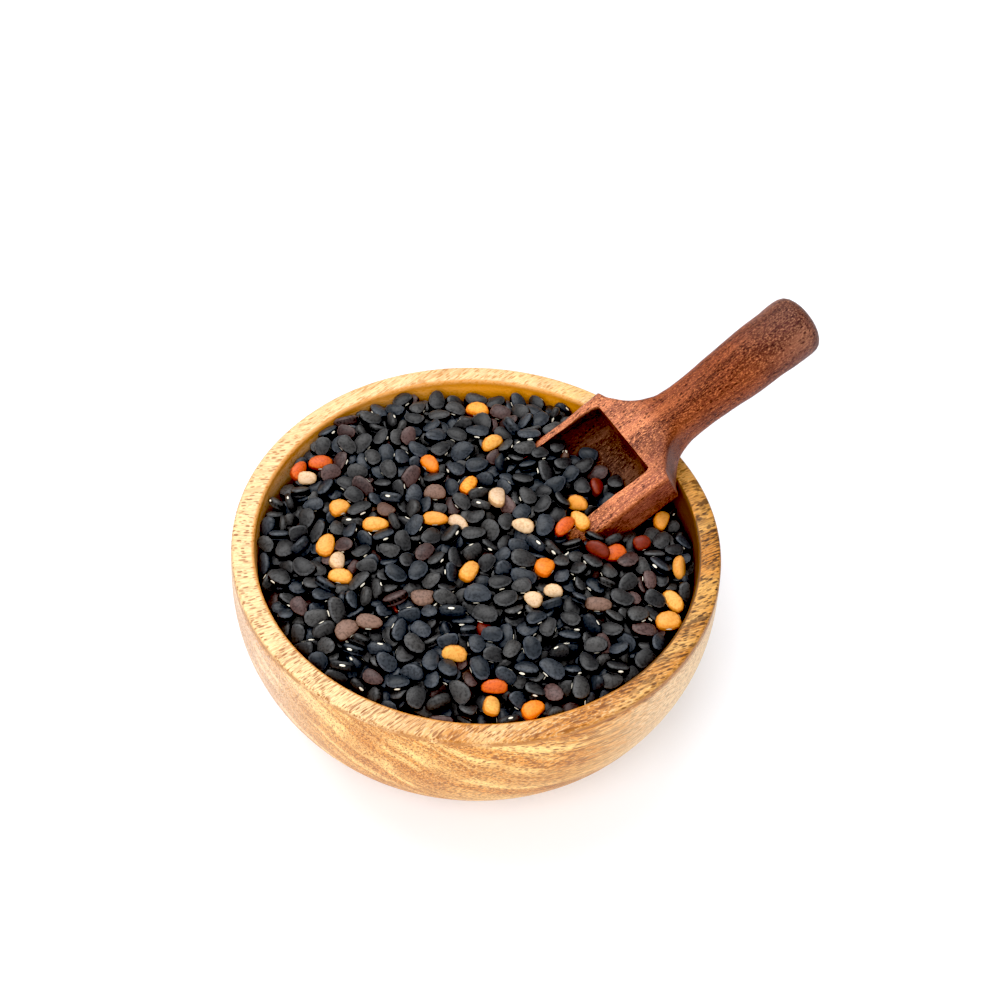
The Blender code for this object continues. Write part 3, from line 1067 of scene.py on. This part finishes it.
# A marked bean lies no lower than the heap's level plus this, in mm
MARKED_LIFT = -0.3
# Where it is thicker than this share of its thickness, no other bean covers it
MARKED_GUARD = 0.62
# How much it tilts at random, in radians, and how far inwards it may move to find room, in cells
MARKED_TILT = 0.06
MARKED_STEPS = 16
# Rounds in which its height under the pixel is found, share of each step, and rounds for its room
HEIGHT_ROUNDS = 8
HEIGHT_STEP = 0.6
ROOM_ROUNDS = 4

# Shifts in cells that widen the scoop's outline to the strip of beans around it
AROUND_SCOOP = (-14, -7, 7, 14)
# Room in mm that beans leave under the scoop and over it, and from their middles to the wall
UNDER_SCOOP_GAP = 0.15
OVER_SCOOP_GAP = 0.05
STRIP_TO_WALL = 1.5
HEAP_TO_WALL = 1.2
# Levels in mm about the heap's level: up to where the bed and the top layer are filled
BED_TOP = -0.9
LAYER_TOP = 1.0
MOST_BEANS = 2000

KIND_SHARES = (("slate", 0.36), ("umber", 0.075), ("russet", 0.006), ("brick", 0.003))
COMMON_KIND = "coal"


def heap_level(x, y):
    """Level of the middle of the top layer of beans, in mm."""
    share = np.minimum(np.hypot(x, y) / HEAP_RADIUS, 1.0)
    level = TOP_LEVEL - (TOP_LEVEL - EDGE_LEVEL) * share ** 3
    for swell in SWELLS:
        off = (x - swell.x) ** 2 + (y - swell.y) ** 2
        level = level + swell.rise * np.exp(-off / (2 * swell.spread ** 2))
    return level


def cell_of(x, y):
    """Row and column of a place in mm."""
    return int(round(y / CELL)) + HALF_GRID, int(round(x / CELL)) + HALF_GRID


def window(row, column, reach):
    """Rows and columns of the grid around a cell."""
    return slice(max(row - reach, 0), row + reach + 1), slice(max(column - reach, 0), column + reach + 1)


class Bean(NamedTuple):
    """A bean that lies in the heap: its middle and half sizes are in mm."""

    place: tuple
    turn: Matrix
    half: tuple
    kind: str
    shaded: bool


def footprint(turn, half):
    """Reach in cells of a turned oval bean, with its lower and upper side about its middle."""
    turn = np.array(turn)
    form = turn @ np.diag(1 / np.array(half) ** 2) @ turn.T
    reach = int(max(half) / CELL) + 1
    line = np.arange(-reach, reach + 1) * CELL
    dx, dy = np.meshgrid(line, line)
    b = form[0, 2] * dx + form[1, 2] * dy
    c = form[0, 0] * dx ** 2 + 2 * form[0, 1] * dx * dy + form[1, 1] * dy ** 2 - 1
    inner = b ** 2 - form[2, 2] * c
    mask = inner > 0
    root = np.sqrt(np.where(mask, inner, 0))
    low = np.where(mask, (-b - root) / form[2, 2], NOTHING)
    high = np.where(mask, (-b + root) / form[2, 2], -NOTHING)
    return reach, low, high


class Heap:
    """Height map of what lies in the bowl, in mm, on a square grid about the bowl's axis."""

    def __init__(self, bowl):
        line = np.arange(-HALF_GRID, HALF_GRID + 1) * CELL
        self.x, self.y = np.meshgrid(line, line)
        self.level = heap_level(self.x, self.y)
        self.radius = np.hypot(self.x, self.y)
        self.wall = bowl.well_radius / MM + 0.05
        self.height = np.where(self.radius < self.wall, self.level - CORE_DEPTH, NOTHING)
        self.ceiling = np.full_like(self.height, NOTHING)
        self.tray = np.zeros_like(self.height, dtype=bool)
        self.scoop_top = np.full_like(self.height, -NOTHING)
        self.scoop_low = np.full_like(self.height, NOTHING)
        self.beans = []

    def scan_scoop(self, mesh, scoop):
        """Upper and lower side of the scoop over the grid, and which cells lie in its tray."""
        to_scoop = (Matrix.Translation(Vector(scoop.place) / MM) @ scoop_turn(scoop)).inverted()
        bm = bmesh.new()
        bm.from_mesh(mesh)
        tree = BVHTree.FromBMesh(bm)
        low = [min(vertex.co[axis] for vertex in bm.verts) / MM for axis in (0, 1)]
        high = [max(vertex.co[axis] for vertex in bm.verts) / MM for axis in (0, 1)]
        bm.free()
        near = (self.x > low[0]) & (self.x < high[0]) & (self.y > low[1]) & (self.y < high[1])
        for row, column in zip(*np.nonzero(near & (self.radius < self.wall))):
            x = self.x[row, column] * MM
            y = self.y[row, column] * MM
            hit = tree.ray_cast(Vector((x, y, LOOKOUT)), Vector((0, 0, -1)))[0]
            if hit:
                self.scoop_top[row, column] = hit.z / MM
                own = to_scoop @ (hit / MM)
                self.tray[row, column] = own.x < TRAY_BACK and own.z < TRAY_RIM
                under = tree.ray_cast(Vector((x, y, 0.0)), Vector((0, 0, 1)))[0]
                self.scoop_low[row, column] = under.z / MM

    def rest(self, row, column, foot):
        """Height of the middle of a bean that comes to rest over this cell, or None."""
        reach, low, high = foot
        if min(row, column) < reach or max(row, column) >= 2 * HALF_GRID + 1 - reach:
            return None
        around = window(row, column, reach)
        z = float((self.height[around] - low).max())
        if z > BLOCKED or ((z + high) > self.ceiling[around]).any():
            return None
        return z

    def nestle(self, row, column, turn, half, rng, tries):
        """Let a bean shift and tilt, step by step, to where it lies lowest."""
        foot = footprint(turn, half)
        z = self.rest(row, column, foot)
        for i in range(tries):
            calm = 1.0 - CALMING * i / tries
            down, side = (int(step) for step in rng.integers(-SHIFT_CELLS, SHIFT_CELLS + 1, 2))
            new_turn = Euler(rng.normal(0, TILT * calm, 3)).to_matrix() @ turn
            new_foot = footprint(new_turn, half)
            new_z = self.rest(row + down, column + side, new_foot)
            if new_z is not None and (z is None or new_z < z - LEAST_GAIN):
                row, column, turn, foot, z = row + down, column + side, new_turn, new_foot, new_z
        return row, column, z, turn, foot

    def slope(self, row, column):
        """Lean of the ground under a bean."""
        around = window(row, column, SLOPE_REACH)
        patch = self.height[around]
        good = patch < BLOCKED
        if good.sum() < SLOPE_CELLS:
            return 0.0, 0.0
        z = patch[good] - patch[good].mean()
        lean = []
        for grid in (self.x, self.y):
            off = grid[around][good] - grid[around][good].mean()
            lean.append(float(np.clip(float((off * z).sum() / (off * off).sum()), -STEEPEST, STEEPEST)))
        return tuple(lean)

    def put(self, row, column, z, foot, turn, half, kind, guard=0.0):
        """Lay a bean. With a guard, no other bean may cover the middle of it."""
        reach, low, high = foot
        patch = self.height[window(row, column, reach)]
        np.maximum(patch, np.where(high > -BLOCKED, z + high - SINK, -NOTHING), out=patch)
        if guard:
            patch[high - low > 2 * min(half) * guard] = GUARDED
        place = (self.x[row, column], self.y[row, column], z)
        self.beans.append(Bean(place, turn, half, kind, bool(self.tray[row, column])))


def bean_turn(heading, lean, roll, tilt=0.0):
    """Turn of a bean: long side along the heading, on sloping ground, rolled about its long side."""
    up = Vector((-lean[0], -lean[1], 1)).normalized()
    lie = Vector((0, 0, 1)).rotation_difference(up).to_matrix()
    return lie @ Euler((0, 0, heading)).to_matrix() @ Euler((roll, tilt, 0)).to_matrix()


def random_half(rng, beans):
    """Half sizes of a bean in mm: large or small as a whole, and each way by itself."""
    size = rng.uniform(0.87, 1.11)
    return (
        beans.half_length / MM * size * rng.uniform(0.93, 1.08),
        beans.half_width / MM * size * rng.uniform(0.93, 1.09),
        beans.half_thickness / MM * size * rng.uniform(0.92, 1.08),
    )


def random_kind(rng):
    draw = rng.random()
    for kind, share in KIND_SHARES:
        if draw < share:
            return kind
        draw -= share
    return COMMON_KIND


def lowest_place(heap, rng, cells, foot):
    """The lowest against the heap's level of some free cells drawn at random, or None."""
    rows, columns = cells
    best = None
    for pick in rng.integers(0, len(rows), PLACES_TRIED):
        row, column = int(rows[pick]), int(columns[pick])
        z = heap.rest(row, column, foot)
        if z is not None and (best is None or z - heap.level[row, column] < best[0]):
            best = (z - heap.level[row, column], row, column)
    return best


def fill_heap(heap, rng, beans, area, top, most, misses_allowed):
    """Lay beans in the lowest free places of an area until it is full up to top mm over the level."""
    cells = np.nonzero(area)
    misses = 0
    laid = 0
    while misses < misses_allowed and laid < most:
        half = random_half(rng, beans)
        heading = rng.uniform(0, 2 * math.pi)
        flat = footprint(bean_turn(heading, (0, 0), 0), half)
        best = lowest_place(heap, rng, cells, flat)
        if best is None or best[0] > top + START_SLACK:
            misses += 1
            continue
        row, column = best[1:]
        tries = SETTLE_TRIES
        roll = rng.normal(0, LYING_ROLL)
        turn = bean_turn(heading, heap.slope(row, column), roll, rng.normal(0, LYING_TILT))
        if rng.random() < ON_EDGE:
            roll = rng.choice((-1, 1)) * rng.uniform(*EDGE_ROLL)
            turn = bean_turn(heading, (0, 0), roll, rng.normal(0, EDGE_TILT))
            tries = ON_EDGE_TRIES
        row, column, z, turn, foot = heap.nestle(row, column, turn, half, rng, tries)
        if z is None or z > heap.level[row, column] + top:
            misses += 1
            continue
        misses = 0
        laid += 1
        heap.put(row, column, z, foot, turn, half, random_kind(rng))


def camera_frame(stage, rim_height):
    """Place and axes of the camera, from the pixel on which the rim's middle falls."""
    tilt = stage.elevation
    forward = Vector((0, math.cos(tilt), -math.sin(tilt)))
    up = Vector((0, math.sin(tilt), math.cos(tilt)))
    side = Vector((1, 0, 0))
    right = side * math.cos(stage.roll) + up * math.sin(stage.roll)
    above = up * math.cos(stage.roll) - side * math.sin(stage.roll)
    off_x = (stage.aim_x - PICTURE / 2) / stage.focal_pixels * stage.distance
    off_y = (stage.aim_y - PICTURE / 2) / stage.focal_pixels * stage.distance
    place = Vector((0, 0, rim_height)) - forward * stage.distance - right * off_x + above * off_y
    return place, right, above, forward


def under_pixel(view, stage, pixel, z):
    """Point at a height in mm that shows at a pixel."""
    place, right, above, forward = view
    across = (pixel[0] - PICTURE / 2) / stage.focal_pixels
    down = (pixel[1] - PICTURE / 2) / stage.focal_pixels
    ray = forward + right * across - above * down
    return place / MM + ray * ((z - place.z / MM) / ray.z)


def find_room(heap, point, foot):
    """Nearest cell with room for a bean, from a point inwards, with the height of its middle there."""
    inward = Vector((-point.x, -point.y)).normalized()
    for step in range(MARKED_STEPS):
        row, column = cell_of(point.x + inward.x * step * CELL, point.y + inward.y * step * CELL)
        found = heap.rest(row, column, foot)
        if found is not None:
            return row, column, found
    return row, column, None


def lay_marked(heap, rng, beans, marked, view, stage):
    """Lay the beans that stand out where the picture shows them."""
    for bean in marked:
        slant = math.radians(bean.slope)
        heading = math.atan2(math.sin(slant) / math.sin(stage.elevation), math.cos(slant)) + stage.roll
        half = (
            beans.half_length / MM * bean.length,
            beans.half_width / MM * bean.width,
            beans.half_thickness / MM * rng.uniform(0.95, 1.1),
        )
        turn = bean_turn(heading, (0, 0), math.radians(bean.roll), rng.normal(0, MARKED_TILT))
        foot = footprint(turn, half)
        z = EDGE_LEVEL
        for _ in range(HEIGHT_ROUNDS):
            point = under_pixel(view, stage, bean.pixel, z)
            surface = float(heap_level(point.x, point.y)) + MARKED_LIFT
            z = (1 - HEIGHT_STEP) * z + HEIGHT_STEP * surface
        for _ in range(ROOM_ROUNDS):
            row, column, found = find_room(heap, under_pixel(view, stage, bean.pixel, z), foot)
            if found is not None:
                z = max(found, float(heap.level[row, column]) + MARKED_LIFT)
        if found is not None:
            heap.put(row, column, max(found, z), foot, turn, half, bean.kind, guard=MARKED_GUARD)


def fill_bowl(heap, rng, beans, view, stage):
    """Lay all beans: under the scoop, then a bed everywhere, the marked ones, and the top layer."""
    covered = heap.scoop_top > -BLOCKED
    near = covered.copy()
    for shift in AROUND_SCOOP:
        near |= np.roll(covered, shift, 0) | np.roll(covered, shift, 1)
    strip = near & (heap.radius < heap.wall - STRIP_TO_WALL)
    heap.ceiling = np.where(covered, heap.scoop_low - UNDER_SCOOP_GAP, NOTHING)
    fill_heap(heap, rng, beans, strip, top=0.0, most=400, misses_allowed=60)
    lay_marked(heap, rng, beans, UNDER_SCOOP, view, stage)
    heap.height = np.where(heap.height > BLOCKED, heap.scoop_low, heap.height)
    heap.height = np.where(heap.radius < heap.wall, heap.height, NOTHING)
    heap.ceiling[:] = NOTHING
    over = np.maximum(heap.height, heap.scoop_top + OVER_SCOOP_GAP)
    heap.height = np.where(covered, over, heap.height)

    everywhere = heap.radius < heap.wall - HEAP_TO_WALL
    heap.level = np.where(heap.tray, np.maximum(heap.level, TRAY_LEVEL), heap.level)
    fill_heap(heap, rng, beans, everywhere, top=BED_TOP, most=MOST_BEANS, misses_allowed=60)
    lay_marked(heap, rng, beans, MARKED, view, stage)
    fill_heap(heap, rng, beans, everywhere, top=LAYER_TOP, most=MOST_BEANS, misses_allowed=200)


def core_mesh(heap, bowl):
    """Closed dark core under the loose beans: the well of the bowl with an uneven top."""
    gap = 0.0004
    edge = bowl.well_radius - gap
    shoulder = 0.033
    rings = 44
    sunk = 0.25
    unevenness = 0.3
    fineness = 700
    profile = [(edge * i / rings, bowl.height) for i in range(rings + 1)]
    for angle in reversed(quarter_turn(12)):
        radius = bowl.floor_radius + (edge - bowl.floor_radius) * math.sin(angle)
        profile.append((radius, shoulder - (shoulder - bowl.floor - gap) * math.cos(angle)))
    profile.append((0.0, bowl.floor + gap))
    mesh = turned_mesh("bean_core", profile, 120)
    for vertex in mesh.vertices:
        if vertex.co.z > bowl.height - 0.0001:
            cell = cell_of(vertex.co.x / MM, vertex.co.y / MM)
            level = min(heap.level[cell] - CORE_DEPTH, heap.scoop_low[cell] - CORE_UNDER_SCOOP)
            vertex.co.z = (level - sunk + unevenness * noise.noise(vertex.co * fineness)) * MM
    mesh.shade_smooth()
    return mesh


# Beans

# Rings of a bean, from its upper to its lower face: share of its outline and height
BEAN_AROUND = 12
BEAN_LEVELS = ((0.74, 0.91), (0.95, 0.52), (1.0, 0.0), (0.95, -0.52), (0.74, -0.91))
# Forms of bean: broader end, bend, squareness and bulge of one end
BEAN_FORMS = (
    (0.04, 0.16, 2.15, 0.0),
    (-0.12, 0.26, 2.3, 0.06),
    (0.18, 0.10, 2.15, -0.08),
    (0.0, 0.34, 2.25, 0.0),
    (-0.05, 0.04, 2.6, 0.10),
    (0.16, 0.20, 2.4, 0.12),
    (-0.20, 0.08, 2.2, 0.0),
)
# Beans are drawn a little larger than they are laid, so that they touch
SWELL = 1.02
# Painted shade under the scoop: beans in its tray keep closer to the first, darker tone of their skin
TRAY_SHADE_TINT = 0.15


class Skin(NamedTuple):
    """Skin of a kind of bean: second tone, ring round the eye (also the painted shade on the flanks), painted
    edge band, strength of its clouds, roughness.
    """

    second: tuple
    ring: tuple
    edge: tuple
    cloud: float
    rough: float


# The ring colours also paint the shade on the flanks, and the edge colours paint the edge band of light or
# shade
BLACK_RING_AND_SHADE = (0.004, 0.004, 0.004)
SKINS = {
    "coal": Skin((0.066, 0.064, 0.063), BLACK_RING_AND_SHADE, (0.100, 0.102, 0.106), 0.6, 0.36),
    "slate": Skin((0.055, 0.061, 0.071), BLACK_RING_AND_SHADE, (0.090, 0.100, 0.118), 0.6, 0.35),
    "umber": Skin((0.135, 0.083, 0.077), BLACK_RING_AND_SHADE, (0.150, 0.105, 0.098), 0.8, 0.40),
    "russet": Skin((0.235, 0.142, 0.108), (0.05, 0.03, 0.022), (0.23, 0.145, 0.11), 0.9, 0.48),
    "orange": Skin((0.94, 0.40, 0.060), (0.56, 0.11, 0.014), (0.80, 0.19, 0.018), 0.8, 0.40),
    "tan": Skin((0.88, 0.45, 0.115), (0.56, 0.18, 0.028), (0.78, 0.26, 0.026), 0.9, 0.40),
    "cream": Skin((0.76, 0.54, 0.33), (0.50, 0.27, 0.120), (0.80, 0.50, 0.24), 1.0, 0.44),
    "coral": Skin((0.66, 0.115, 0.028), (0.32, 0.04, 0.016), (0.62, 0.14, 0.032), 0.8, 0.40),
    "brick": Skin((0.17, 0.032, 0.020), (0.08, 0.020, 0.014), (0.25, 0.048, 0.026), 0.7, 0.40),
}


def bean_shape(name, wide_end, bend, square, bulge):
    """Unit bean: a flat rounded pebble, hollow on one long side, with its own place kept for its eye."""
    bm = bmesh.new()
    layer = bm.verts.layers.float_vector.new("bean_place")

    def point(x, y, z):
        vertex = bm.verts.new((x + bulge * (0.4 - y * y), y * (1 + wide_end * x) + bend * (0.35 - x * x), z))
        vertex[layer] = (x, y, z)
        return vertex

    rings = []
    for share, level in BEAN_LEVELS:
        ring = []
        for j in range(BEAN_AROUND):
            x, y = superellipse(2 * math.pi * (j + 0.5) / BEAN_AROUND, square)
            ring.append(point(x * share, y * share, level))
        rings.append(ring)
    bridge_rings(bm, rings)
    close_ring(bm, rings[0], point(0, 0, 1))
    close_ring(bm, rings[-1], point(0, 0, -1))
    bmesh.ops.recalc_face_normals(bm, faces=bm.faces)
    mesh = mesh_from(bm, name)
    mesh.shade_smooth()
    return mesh


def bean_shapes():
    """The few shapes that all beans are made of, in a collection of their own."""
    shapes = bpy.data.collections.new("bean_shapes")
    bpy.context.scene.collection.children.link(shapes)
    for i, form in enumerate(BEAN_FORMS):
        mesh = bean_shape(f"bean_shape_{i}", *form)
        shapes.objects.link(bpy.data.objects.new(mesh.name, mesh))
    return shapes


def scatter_tree():
    """Nodes that set a bean on each point, with its own turn, size and shape."""
    tree = bpy.data.node_groups.new("set_beans", "GeometryNodeTree")
    tree.is_modifier = True
    for label, kind in (
        ("Points", "NodeSocketGeometry"),
        ("Bean Shapes", "NodeSocketCollection"),
        ("Bean Skin", "NodeSocketMaterial"),
        ("Swell", NUMBER),
    ):
        tree.interface.new_socket(label, in_out="INPUT", socket_type=kind)
    tree.interface.new_socket("Beans", in_out="OUTPUT", socket_type="NodeSocketGeometry")
    given = tree.nodes.new("NodeGroupInput").outputs
    out = tree.nodes.new("NodeGroupOutput")

    def put(kind, inputs, **settings):
        return add_node(tree, kind, inputs, **settings).outputs[0]

    def point_value(name, form):
        return put("GeometryNodeInputNamedAttribute", {"Name": name}, data_type=form)

    shapes = {"Collection": given["Bean Shapes"], "Separate Children": True, "Reset Children": True}
    size = {0: point_value("size", "FLOAT_VECTOR"), "Scale": given["Swell"]}
    placed = put(
        "GeometryNodeInstanceOnPoints",
        {
            "Points": given["Points"],
            "Instance": put("GeometryNodeCollectionInfo", shapes),
            "Pick Instance": True,
            "Instance Index": point_value("shape", "INT"),
            "Rotation": put("FunctionNodeEulerToRotation", {0: point_value("turn", "FLOAT_VECTOR")}),
            "Scale": put("ShaderNodeVectorMath", size, operation="SCALE"),
        },
    )
    real = put("GeometryNodeRealizeInstances", {"Geometry": placed})
    feed(out, {"Beans": put("GeometryNodeSetMaterial", {"Geometry": real, "Material": given["Bean Skin"]})})
    return tree


def bean_piece(kind, beans, tree, shapes, material, rng):
    """All beans of one kind as one plain mesh."""
    mesh = bpy.data.meshes.new(kind + "_points")
    mesh.from_pydata([Vector(bean.place) * MM for bean in beans], [], [])
    values = {
        "turn": ("FLOAT_VECTOR", [tuple(bean.turn.to_euler()) for bean in beans]),
        "size": ("FLOAT_VECTOR", [tuple(half * MM for half in bean.half) for bean in beans]),
        "shape": ("INT", rng.integers(0, len(shapes.objects), len(beans))),
        "lying": ("FLOAT", [abs(bean.turn[2][2]) for bean in beans]),
        # Beans in the tray keep a low tint: painted shade
        "tint": ("FLOAT", rng.random(len(beans)) * [TRAY_SHADE_TINT if bean.shaded else 1.0 for bean in beans]),
    }
    for name, (form, rows) in values.items():
        data = mesh.attributes.new(name, form, "POINT").data
        data.foreach_set("vector" if form == "FLOAT_VECTOR" else "value", np.array(rows).ravel())
    points = add_object(kind + "_points", mesh)
    modifier = points.modifiers.new("beans", "NODES")
    modifier.node_group = tree
    values = {"Bean Shapes": shapes, "Bean Skin": material, "Swell": SWELL}
    for item in tree.interface.items_tree:
        if item.in_out == "INPUT" and item.name in values:
            modifier[item.identifier] = values[item.name]
    result = evaluated_mesh(points)
    bpy.data.objects.remove(points, do_unlink=True)
    result.name = kind + "_beans"
    finish_piece(add_object(kind + "_beans", result))


def skin_group():
    """Bean skin: two tones, fine clouds, a painted edge band, painted shade on the flanks and the pale eye on
    the hollow side.
    """
    tree, given, out = new_group(
        "bean_skin",
        (
            ("First", COLOUR, (0.1, 0.1, 0.1, 1.0)),
            ("Second", COLOUR, (0.1, 0.1, 0.1, 1.0)),
            ("Eye", COLOUR, (0.8, 0.7, 0.6, 1.0)),
            ("Ring", COLOUR, (0.01, 0.01, 0.01, 1.0)),
            ("Edge", COLOUR, (0.1, 0.1, 0.1, 1.0)),
            ("Cloud", NUMBER, 0.3),
            ("Rough", NUMBER, 0.4),
        ),
        SURFACE,
    )
    here = object_place(tree)
    clouds = speckle(here, 420.0, 3.0, 0.6)
    mottle = ramp(speckle(here, 1900.0, 2.0, 0.6), 0.45, 0.65)
    fine = speckle(here, 2600.0, 2.0, 0.6)
    along, across, up = split(stored(tree, "bean_place", "Vector"))
    level = abs(up)
    lying = ramp(stored(tree, "lying"), 0.45, 0.85)

    # The eye is an oval on the hollow side, in a ring
    long = along / 0.23
    thick = up / 0.22
    spot = long * long + thick * thick
    side = ramp(across, -0.55, -0.62)
    ring = ramp(spot, 2.6, 1.6) * side
    eye = ramp(spot, 1.1, 0.8) * side

    # A bean that lies flat gets a painted edge band, a highlight on the dark kinds and shade on the orange
    # and tan ones, and painted shade on its flanks; one on edge hardly any
    tone = (stored(tree, "tint") + (clouds - 0.5) * given["Cloud"]).clamped()
    edge = band_mask(level, 0.50, 0.80, 0.08) * (lying * 0.62)
    painted_flank = ramp(level, 0.52, 0.24) * (lying * 0.75 + 0.18)
    shade = mix(tone, given["First"], given["Second"])
    shade = mix(edge, shade, given["Edge"])
    # Painted shade on the flanks in the ring colour, with the skin's own mottle
    shade = mix((painted_flank + mottle * 0.50).clamped(), shade, given["Ring"])
    shade = mix(ring * 0.6, shade, given["Ring"])
    shade = mix(eye, shade, given["Eye"])
    rough = given["Rough"] + (fine - 0.5) * 0.18 + eye * 0.25
    high = clouds * 0.5 + fine * 0.30 + eye * 0.5
    feed(out, {"Color": shade, "Roughness": rough, "Height": high})


def skin_material(kind, beans):
    """Material of one kind of bean."""
    material, tree, shader = new_material(kind + "_skin")
    look = SKINS[kind]
    inputs = {
        "First": getattr(beans, kind),
        "Second": look.second,
        "Eye": beans.eye,
        "Ring": look.ring,
        "Edge": look.edge,
        "Cloud": look.cloud,
        "Rough": look.rough,
    }
    skin = place_group(tree, "bean_skin", inputs)
    finish_shader(shader, skin["Color"], skin, specular=0.32, strength=0.55, depth=0.0001)
    return material


def core_material():
    """Painted deep shade under the loose beans: nearly black, slightly uneven."""
    material, tree, shader = new_material("deep_shade")
    shade = mix(speckle(object_place(tree), 300.0), (0.003, 0.003, 0.003), (0.009, 0.007, 0.006))
    feed(shader, {"Base Color": shade, "Roughness": 0.8})
    return material


class BEANBOWL_OT_heap_beans(bpy.types.Operator):
    """Fill the bowl with beans of nine kinds over a dark core"""

    bl_idname = "beanbowl.heap_beans"
    bl_label = "Heap beans"

    def execute(self, context):
        scene = context.scene
        bowl, beans, stage = scene.bean_bowl, scene.bean_beans, scene.bean_stage
        rng = np.random.default_rng(beans.seed)
        heap = Heap(bowl)
        heap.scan_scoop(bpy.data.objects["carved_scoop"].data, scene.bean_scoop)
        fill_bowl(heap, rng, beans, camera_frame(stage, bowl.height), stage)

        tree = scatter_tree()
        shapes = bean_shapes()
        for kind in SKINS:
            chosen = [bean for bean in heap.beans if bean.kind == kind]
            bean_piece(kind, chosen, tree, shapes, skin_material(kind, beans), rng)
        for obj in list(shapes.objects):
            bpy.data.objects.remove(obj, do_unlink=True)
        bpy.data.collections.remove(shapes)

        core = add_object("bean_core", core_mesh(heap, bowl))
        finish_piece(core, core_material())
        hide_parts("beans")
        return {"FINISHED"}


# Stage

FLOOR_HALF = 2.0
FLOOR_COLOUR = (0.87, 0.895, 0.95)
GLOW_COLOUR = (1.0, 0.99, 0.985)
LAMP_AIM = Vector((0, 0, 0.04))


def soft_lamp(name, power, size, place):
    """A round soft lamp that points at the bowl."""
    light = bpy.data.lights.new(name, "AREA")
    light.energy = power
    light.shape = "DISK"
    light.size = size
    lamp = add_object(name, light)
    lamp.location = place
    lamp.rotation_euler = (LAMP_AIM - lamp.location).to_track_quat("-Z", "Y").to_euler()
    return lamp


def white_floor(stage):
    """Pale floor with a faint light of its own, stronger where the camera looks straight at it."""
    bm = bmesh.new()
    bmesh.ops.create_grid(bm, x_segments=1, y_segments=1, size=FLOOR_HALF)
    floor = add_object("floor", mesh_from(bm, "floor"))
    material, tree, shader = new_material("white_floor")
    seen = Signal(add_node(tree, "ShaderNodeLightPath").outputs["Is Camera Ray"])
    feed(
        shader,
        {
            "Base Color": FLOOR_COLOUR,
            "Roughness": 0.9,
            "Specular IOR Level": 0.1,
            "Emission Color": GLOW_COLOUR,
            "Emission Strength": seen * stage.glow + stage.glow,
        },
    )
    floor.data.materials.append(material)


class BEANBOWL_OT_set_stage(bpy.types.Operator):
    """Set the floor, the soft light and the camera"""

    bl_idname = "beanbowl.set_stage"
    bl_label = "Set stage"

    def execute(self, context):
        scene = context.scene
        stage = scene.bean_stage
        white_floor(stage)
        world = bpy.data.worlds.new("white_room")
        world.use_nodes = True
        feed(world.node_tree.nodes["Background"], {"Color": (1.0, 1.0, 1.0), "Strength": stage.sky})
        scene.world = world
        soft_lamp("soft_key", stage.key, 0.9, (-0.22, 0.32, 0.72))
        soft_lamp("front_fill", stage.fill, 0.6, (-0.10, -0.50, 0.48)).visible_glossy = False

        place, right, above, forward = camera_frame(stage, scene.bean_bowl.height)
        eye = bpy.data.cameras.new("camera")
        eye.sensor_fit = "HORIZONTAL"
        eye.sensor_width = 36.0
        eye.lens = stage.focal_pixels * eye.sensor_width / PICTURE
        eye.clip_start = 0.01
        camera = add_object("camera", eye)
        turn = Matrix((right, above, -forward)).transposed()
        camera.matrix_world = Matrix.Translation(place) @ turn.to_4x4()
        scene.camera = camera
        scene.view_settings.view_transform = "Standard"
        scene.view_settings.use_curve_mapping = True
        scene.view_settings.curve_mapping.black_level = (stage.black, stage.black, stage.black)
        return {"FINISHED"}


# Panel


class BEANBOWL_PT_panel(bpy.types.Panel):
    """Steps that dress the bowl of beans"""

    bl_label = "Bowl of beans"
    bl_idname = "BEANBOWL_PT_panel"
    bl_space_type = "VIEW_3D"
    bl_region_type = "UI"
    bl_category = "Beans"

    def draw(self, context):
        for step in OPERATORS:
            self.layout.operator(step.bl_idname)
        for key in SETTINGS:
            group = getattr(context.scene, key)
            box = self.layout.box()
            for name in group.__annotations__:
                box.prop(group, name)


SETTINGS = {
    "bean_bowl": BowlSettings,
    "bean_scoop": ScoopSettings,
    "bean_beans": BeanSettings,
    "bean_stage": StageSettings,
}
OPERATORS = (
    BEANBOWL_OT_turn_bowl,
    BEANBOWL_OT_carve_scoop,
    BEANBOWL_OT_heap_beans,
    BEANBOWL_OT_set_stage,
)
CLASSES = (*SETTINGS.values(), *OPERATORS, BEANBOWL_PT_panel)


def register():
    for item in CLASSES:
        bpy.utils.register_class(item)
    for key, group in SETTINGS.items():
        setattr(bpy.types.Scene, key, PointerProperty(type=group))


def unregister():
    for key in SETTINGS:
        delattr(bpy.types.Scene, key)
    for item in reversed(CLASSES):
        bpy.utils.unregister_class(item)


def main():
    register()
    wood_group()
    skin_group()
    bpy.ops.beanbowl.turn_bowl()
    bpy.ops.beanbowl.carve_scoop()
    bpy.ops.beanbowl.heap_beans()
    bpy.ops.beanbowl.set_stage()


if __name__ == "__main__":
    main()
